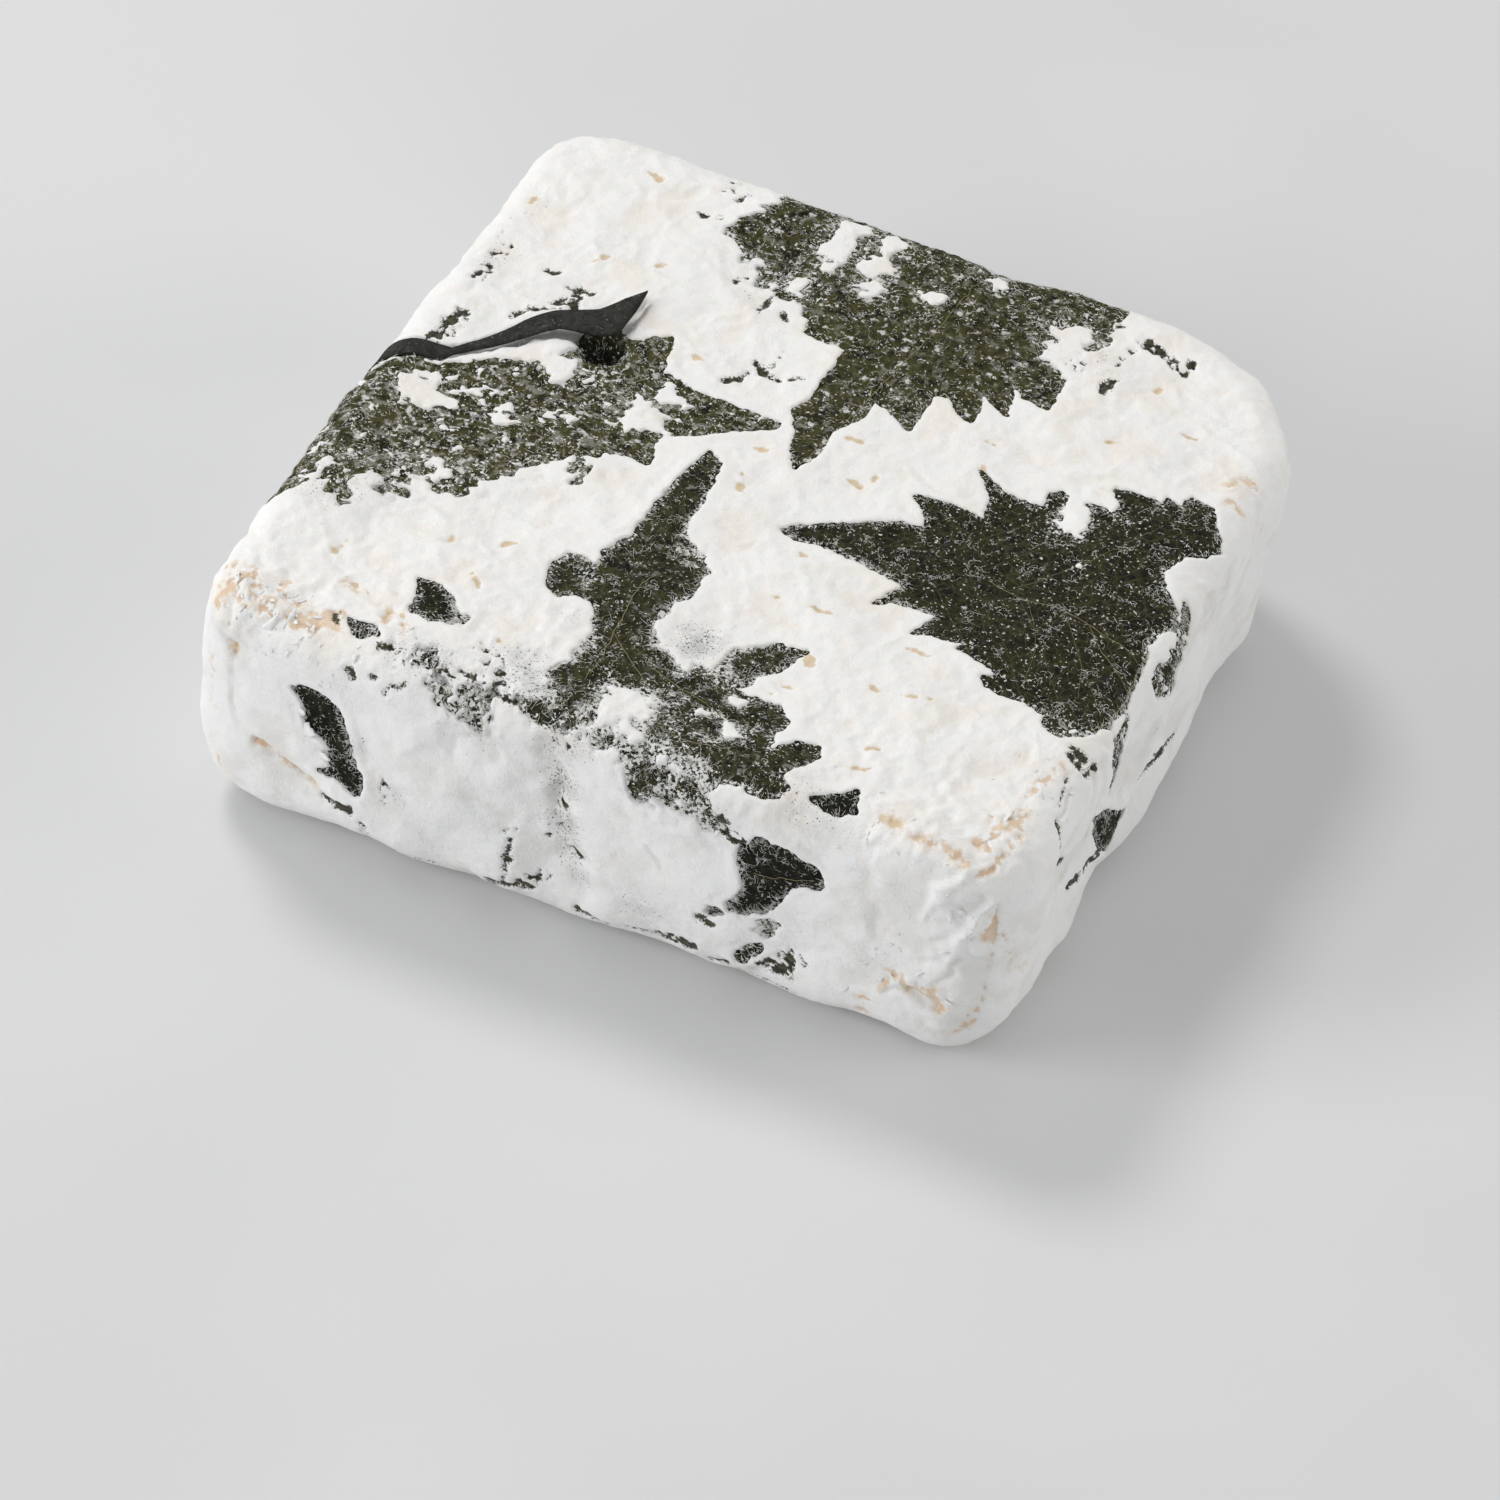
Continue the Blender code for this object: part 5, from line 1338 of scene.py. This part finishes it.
class Nodes:
    """Adds nodes to a material's tree and links them: a socket argument is linked, a plain value is set."""

    def __init__(self, name):
        self.material = bpy.data.materials.new(name)
        self.material.use_nodes = True
        self.tree = self.material.node_tree
        self.shader = self.tree.nodes["Principled BSDF"]

    def put(self, socket, value):
        if isinstance(value, bpy.types.NodeSocket):
            self.tree.links.new(value, socket)
        else:
            socket.default_value = value

    def add(self, kind, output=0, settings=None, **inputs):
        made = self.tree.nodes.new("ShaderNode" + kind)
        for key, value in (settings or {}).items():
            setattr(made, key, value)
        for key, value in inputs.items():
            name = key.replace("_", " ")
            self.put(made.inputs[name], value)
        return made.outputs[output]

    def math(self, operation, a, b=0.0):
        made = self.tree.nodes.new("ShaderNodeMath")
        made.operation = operation
        for socket, value in zip(made.inputs, (a, b)):
            self.put(socket, value)
        return made.outputs[0]

    def times(self, a, b):
        return self.math("MULTIPLY", a, b)

    def plus(self, a, b):
        return self.math("ADD", a, b)

    def minus(self, a, b):
        return self.math("SUBTRACT", a, b)

    def surface(self, **inputs):
        """The material, with its shader's inputs linked or set; an underscore stands for a space."""
        for key, value in inputs.items():
            self.put(self.shader.inputs[key.replace("_", " ")], value)
        return self.material

    def ramp(self, value, low, high, start=0.0, end=1.0):
        made = self.tree.nodes.new("ShaderNodeMapRange")
        made.interpolation_type = "SMOOTHSTEP"
        for socket, number in zip(made.inputs, (value, low, high, start, end)):
            self.put(socket, number)
        return made.outputs[0]

    def attribute(self, name):
        made = self.tree.nodes.new("ShaderNodeAttribute")
        made.attribute_type = "GEOMETRY"
        made.attribute_name = name
        return made.outputs["Fac"]

    def place(self):
        return self.add("TexCoord", "Object")

    def noise(self, size, detail=2.0, rough=0.5):
        """Noise with features of this size in millimetres."""
        scale = 1 / (size * MILLIMETRE)
        return self.add("TexNoise", "Fac", Vector=self.place(), Scale=scale, Detail=detail, Roughness=rough)

    def warped(self, size, reach):
        """Place shifted about by noise of this size, by up to this reach, both in millimetres."""
        made = self.tree.nodes.new("ShaderNodeVectorMath")
        made.operation = "MULTIPLY_ADD"
        scale = 1 / (size * MILLIMETRE)
        shift = self.add("TexNoise", "Color", Vector=self.place(), Scale=scale, Detail=2.0)
        self.put(made.inputs[0], shift)
        made.inputs[1].default_value = (reach * MILLIMETRE,) * 3
        self.put(made.inputs[2], self.place())
        return made.outputs[0]

    def mix(self, factor, a, b):
        made = self.tree.nodes.new("ShaderNodeMix")
        made.data_type = "RGBA"
        self.put(made.inputs[0], factor)
        self.put(made.inputs[6], a)
        self.put(made.inputs[7], b)
        return made.outputs[2]

    def bump(self, height, distance, strength, normal=None):
        made = self.tree.nodes.new("ShaderNodeBump")
        made.inputs["Strength"].default_value = strength
        made.inputs["Distance"].default_value = distance * MILLIMETRE
        self.put(made.inputs["Height"], height)
        if normal is not None:
            self.put(made.inputs["Normal"], normal)
        return made.outputs[0]


def rind_material():
    n = Nodes("bloomy_rind")
    top_white = (0.93, 0.912, 0.885, 1)
    side_white = (0.92, 0.918, 0.905, 1)
    peach = (0.885, 0.82, 0.735, 1)
    beige = (0.79, 0.77, 0.73, 1)
    tan = (0.77, 0.58, 0.41, 1)
    amber = (0.70, 0.46, 0.26, 1)
    ochre = (0.74, 0.59, 0.39, 1)
    grey = (0.42, 0.43, 0.43, 1)
    leaf = (0.024, 0.023, 0.014, 1)
    olive = (0.075, 0.068, 0.034, 1)
    fine = n.noise(0.45, 4.0, 0.7)
    grit = n.noise(0.30, 3.0, 0.7)
    upward = n.attribute("upward")
    white = n.mix(upward, side_white, top_white)
    dull = n.mix(upward, beige, peach)
    # The tone attribute brings the rind's own dull patches and the painted shade of its creases and tuft
    # hollows
    mottle = n.plus(n.attribute("tone"), n.times(n.minus(n.noise(1.2, 4.0, 0.65), 0.5), 0.9))
    colour = n.mix(n.times(n.ramp(mottle, 0.10, 1.05), 0.55), white, dull)
    border = n.ramp(n.attribute("cover"), -0.9, 0.1)
    fringe = n.times(border, n.plus(0.10, n.times(n.attribute("fuzz"), 0.45)))
    thin = n.plus(n.attribute("thin"), fringe)
    tint = n.times(thin, n.ramp(n.noise(2.2, 3.0, 0.6), 0.3, 0.65, 0.1, 0.6))
    colour = n.mix(tint, colour, grey)
    tan_mask = n.ramp(n.plus(n.attribute("scuff"), n.times(n.minus(fine, 0.5), 1.4)), -0.2, 0.35)
    tan_tone = n.mix(n.ramp(n.noise(1.6, 3.0), 0.42, 0.62), tan, amber)
    colour = n.mix(n.times(tan_mask, 0.75), colour, tan_tone)
    halo = n.times(n.ramp(n.attribute("scuff"), -1.0, 0.1), n.ramp(n.noise(1.1, 3.0, 0.6), 0.45, 0.66))
    colour = n.mix(n.times(halo, 0.45), colour, ochre)
    fleck_mask = n.plus(n.attribute("fleck"), n.times(n.minus(fine, 0.5), 0.5))
    colour = n.mix(n.times(n.ramp(fleck_mask, -0.10, 0.14), 0.88), colour, ochre)
    speck_level = n.plus(grit, n.times(n.math("MINIMUM", thin, 1.0), 0.115))
    specks = n.ramp(speck_level, 0.67, 0.71)
    colour = n.mix(n.times(specks, n.ramp(thin, 0.08, 0.3)), colour, leaf)
    bit_mask = n.plus(n.attribute("bit"), n.times(n.minus(grit, 0.5), 1.4))
    bit_tone = n.mix(n.ramp(n.noise(0.7, 3.0, 0.6), 0.45, 0.6), leaf, olive)
    colour = n.mix(n.ramp(bit_mask, -0.10, 0.20), colour, bit_tone)
    micro = n.bump(grit, 0.12, 0.7)
    return n.surface(
        Base_Color=colour,
        Roughness=n.ramp(n.noise(2.0), 0.3, 0.7, 0.82, 0.95),
        Specular_IOR_Level=0.15,
        Subsurface_Weight=0.3,
        Subsurface_Radius=(0.0010, 0.0008, 0.0006),
        Subsurface_Scale=0.4,
        Sheen_Weight=0.12,
        Sheen_Roughness=0.6,
        Normal=n.bump(n.noise(1.1, 4.0, 0.65), 0.28, 0.7, micro),
    )


def leaf_material():
    n = Nodes("pressed_leaf")
    green = (0.041, 0.044, 0.016, 1)
    dark = (0.010, 0.010, 0.008, 1)
    slate = (0.040, 0.042, 0.037, 1)
    olive = (0.082, 0.076, 0.028, 1)
    vein = (0.12, 0.11, 0.05, 1)
    powder = (0.27, 0.26, 0.215, 1)
    mould = (0.84, 0.835, 0.81, 1)
    edge = {"feature": "DISTANCE_TO_EDGE"}
    cells = n.add("TexVoronoi", "Distance", edge, Vector=n.warped(1.5, 0.7), Scale=1 / (1.5 * MILLIMETRE))
    hairs = n.add("TexVoronoi", "Distance", edge, Vector=n.warped(0.6, 0.5), Scale=1 / (0.5 * MILLIMETRE))
    crumbs = n.add("TexVoronoi", "Distance", Vector=n.warped(1.1, 0.8), Scale=1 / (1.15 * MILLIMETRE))
    moss = n.attribute("moss")
    cover = n.attribute("cover")
    mossy = n.math("MAXIMUM", moss, 0.0)
    untidy = n.ramp(moss, -1.0, 0.0, 0.15, 1.0)
    grown = n.times(mossy, mossy)
    fine = n.noise(0.33, 3.0, 0.75)
    colour = n.mix(n.ramp(n.noise(3.2, 4.0, 0.65), 0.38, 0.62), dark, green)
    margin = n.times(n.ramp(cover, 0.2, 3.2, 0.8, 0.0), n.ramp(moss, 0.2, 0.9, 1.0, 0.2))
    colour = n.mix(margin, colour, dark)
    # Low moss darkens the leaf: the own colour of clean leaves, and painted shade in the hollow under the
    # folded leaf
    colour = n.mix(n.ramp(moss, -1.0, 0.0, 0.9, 0.0), colour, dark)
    clumps = n.noise(1.15, 3.0, 0.6)
    slaty = n.times(n.ramp(moss, -1.0, -0.65, 1.0, 0.0), n.ramp(clumps, 0.34, 0.60, 0.45, 1.0))
    colour = n.mix(slaty, colour, slate)
    colour = n.mix(n.times(n.ramp(clumps, 0.40, 0.62), n.times(mossy, 0.85)), colour, olive)
    lateral = n.math("ABSOLUTE", n.attribute("mid"))
    phase = n.math("DIVIDE", n.minus(n.attribute("along"), n.times(lateral, VEIN_SLANT)), VEIN_SPACING)
    wave = n.math("ABSOLUTE", n.minus(n.math("FRACT", phase), 0.5))
    veins = n.times(n.ramp(wave, 0.470, 0.494), n.ramp(n.noise(2.5, 2.0), 0.35, 0.6, 0.1, 0.5))
    veins = n.math("MAXIMUM", veins, n.times(n.ramp(cells, 0.07, 0.01), 0.3))
    colour = n.mix(n.times(veins, untidy), colour, vein)
    fuzz = n.math("MINIMUM", n.attribute("fuzz"), 1.0)
    verge = n.times(n.ramp(cover, 0.0, 0.7, 1.0, 0.0), n.plus(0.35, fuzz))
    verge = n.times(verge, n.ramp(mossy, 0.3, 1.0, 1.0, 0.45))
    near = n.times(n.ramp(cover, 0.0, 1.8, 1.0, 0.0), n.plus(n.times(fuzz, 0.5), 0.1))
    zones = n.times(n.ramp(n.noise(3.0, 2.0), 0.50, 0.66), 0.5)
    share = n.times(n.ramp(n.attribute("share"), 0.0, 0.8), 0.35)
    density = n.plus(near, n.plus(zones, share))
    sifted = n.plus(crumbs, n.times(n.minus(n.noise(0.7, 3.0, 0.65), 0.5), 1.5))
    sifted = n.ramp(n.plus(sifted, n.times(density, 0.2)), 0.66, 1.02)
    colour = n.mix(n.times(sifted, n.times(grown, 0.85)), colour, powder)
    dots = n.ramp(n.plus(fine, n.times(density, 0.12)), 0.75, 0.80)
    frayed = n.ramp(n.plus(n.noise(0.42, 2.0, 0.6), n.times(verge, 0.15)), 0.65, 0.70)
    dots = n.math("MAXIMUM", dots, frayed)
    broken = n.ramp(n.plus(n.noise(0.8, 2.0), n.times(density, 0.15)), 0.65, 0.73)
    lines = n.times(n.ramp(hairs, 0.08, 0.03), n.times(broken, 0.6))
    lines = n.times(lines, n.ramp(mossy, 0.25, 0.8, 1.0, 0.0))
    puff_level = n.plus(n.noise(1.3, 3.0, 0.55), n.times(density, 0.04))
    puffs = n.times(n.ramp(puff_level, 0.61, 0.70), n.ramp(mossy, 0.2, 0.8, 0.0, 0.72))
    white = n.math("MAXIMUM", n.math("MAXIMUM", n.times(dots, 0.9), puffs), lines)
    white = n.times(white, untidy)
    colour = n.mix(white, colour, mould)
    rough = n.bump(n.ramp(cells, 0.0, 0.3), 0.16, 0.5)
    rough = n.bump(n.times(clumps, mossy), 1.0, 0.7, rough)
    return n.surface(
        Base_Color=colour,
        Roughness=n.ramp(n.noise(1.5), 0.3, 0.7, 0.6, 0.85),
        Specular_IOR_Level=0.07,
        Normal=n.bump(fine, 0.12, 0.6, rough),
    )


def vein_material():
    n = Nodes("leaf_veins")
    colour = n.mix(n.noise(1.5), (0.42, 0.37, 0.20, 1), (0.22, 0.19, 0.09, 1))
    return n.surface(Base_Color=colour, Roughness=0.7, Specular_IOR_Level=0.2)


def thread_material():
    n = Nodes("mould_threads")
    colour = n.mix(n.noise(1.5), (0.88, 0.87, 0.84, 1), (0.78, 0.76, 0.71, 1))
    return n.surface(Base_Color=colour, Roughness=0.85, Specular_IOR_Level=0.2)


def floor():
    n = Nodes("pale_floor")
    colour = n.mix(n.ramp(n.noise(140.0, 3.0), 0.4, 0.65), (0.70, 0.70, 0.705, 1), (0.74, 0.74, 0.74, 1))
    bpy.ops.mesh.primitive_plane_add(size=FLOOR_SIDE, location=(0, 0, 0))
    plane = bpy.context.object
    plane.name = "floor"
    plane.data.materials.append(n.surface(Base_Color=colour, Roughness=0.6))


def area_light(name, location, size, energy, colour):
    data = bpy.data.lights.new(name, "AREA")
    data.shape = "DISK"
    data.size = size
    data.energy = energy
    data.color = colour
    lamp = bpy.data.objects.new(name, data)
    bpy.context.scene.collection.objects.link(lamp)
    lamp.location = location
    lamp.rotation_euler = (Vector(LIGHT_TARGET) - Vector(location)).to_track_quat("-Z", "Y").to_euler()


def lights():
    world = bpy.data.worlds.new("studio")
    bpy.context.scene.world = world
    world.use_nodes = True
    background = world.node_tree.nodes["Background"]
    background.inputs["Color"].default_value = (0.97, 0.985, 1.0, 1)
    background.inputs["Strength"].default_value = 0.50
    for light in LIGHTS:
        area_light(*light)


def camera():
    azimuth, elevation, roll = (math.radians(v) for v in (CAMERA_AZIMUTH, CAMERA_ELEVATION, CAMERA_ROLL))
    flat = math.cos(elevation)
    back = Vector((math.sin(azimuth) * flat, -math.cos(azimuth) * flat, math.sin(elevation)))
    level = Vector((math.cos(azimuth), math.sin(azimuth), 0))
    upright = back.cross(level)
    right = level * math.cos(roll) + upright * math.sin(roll)
    up = upright * math.cos(roll) - level * math.sin(roll)
    data = bpy.data.cameras.new("camera")
    data.sensor_width = SENSOR
    data.lens = CAMERA_FOCAL_PIXELS * SENSOR / PHOTO_SIDE
    data.clip_start = 0.01
    data.clip_end = 50.0
    made = bpy.data.objects.new("camera", data)
    bpy.context.scene.collection.objects.link(made)
    place = (Vector(CAMERA_TARGET) + back * CAMERA_DISTANCE) * MILLIMETRE
    turn = Matrix((right, up, back)).transposed()
    made.matrix_world = Matrix.LocRotScale(place, turn, None)
    bpy.context.scene.camera = made


def main():
    camera()
    lights()
    floor()
    leaf_finish = leaf_material()
    rind_finish = rind_material()
    rind_pieces(rind_finish)
    rind_flakes(rind_finish)
    for name, outline in LEAVES.items():
        if name == "leaf_left_fold":
            fold_piece(leaf_finish)
        else:
            leaf_piece(name, outline, leaf_finish)
    down_finish = thread_material()
    mould_threads(down_finish)
    furry_borders(down_finish)
    vein_lines(vein_material())
    bpy.context.scene.view_settings.view_transform = "Standard"
    bpy.context.scene.view_settings.look = "None"


main()
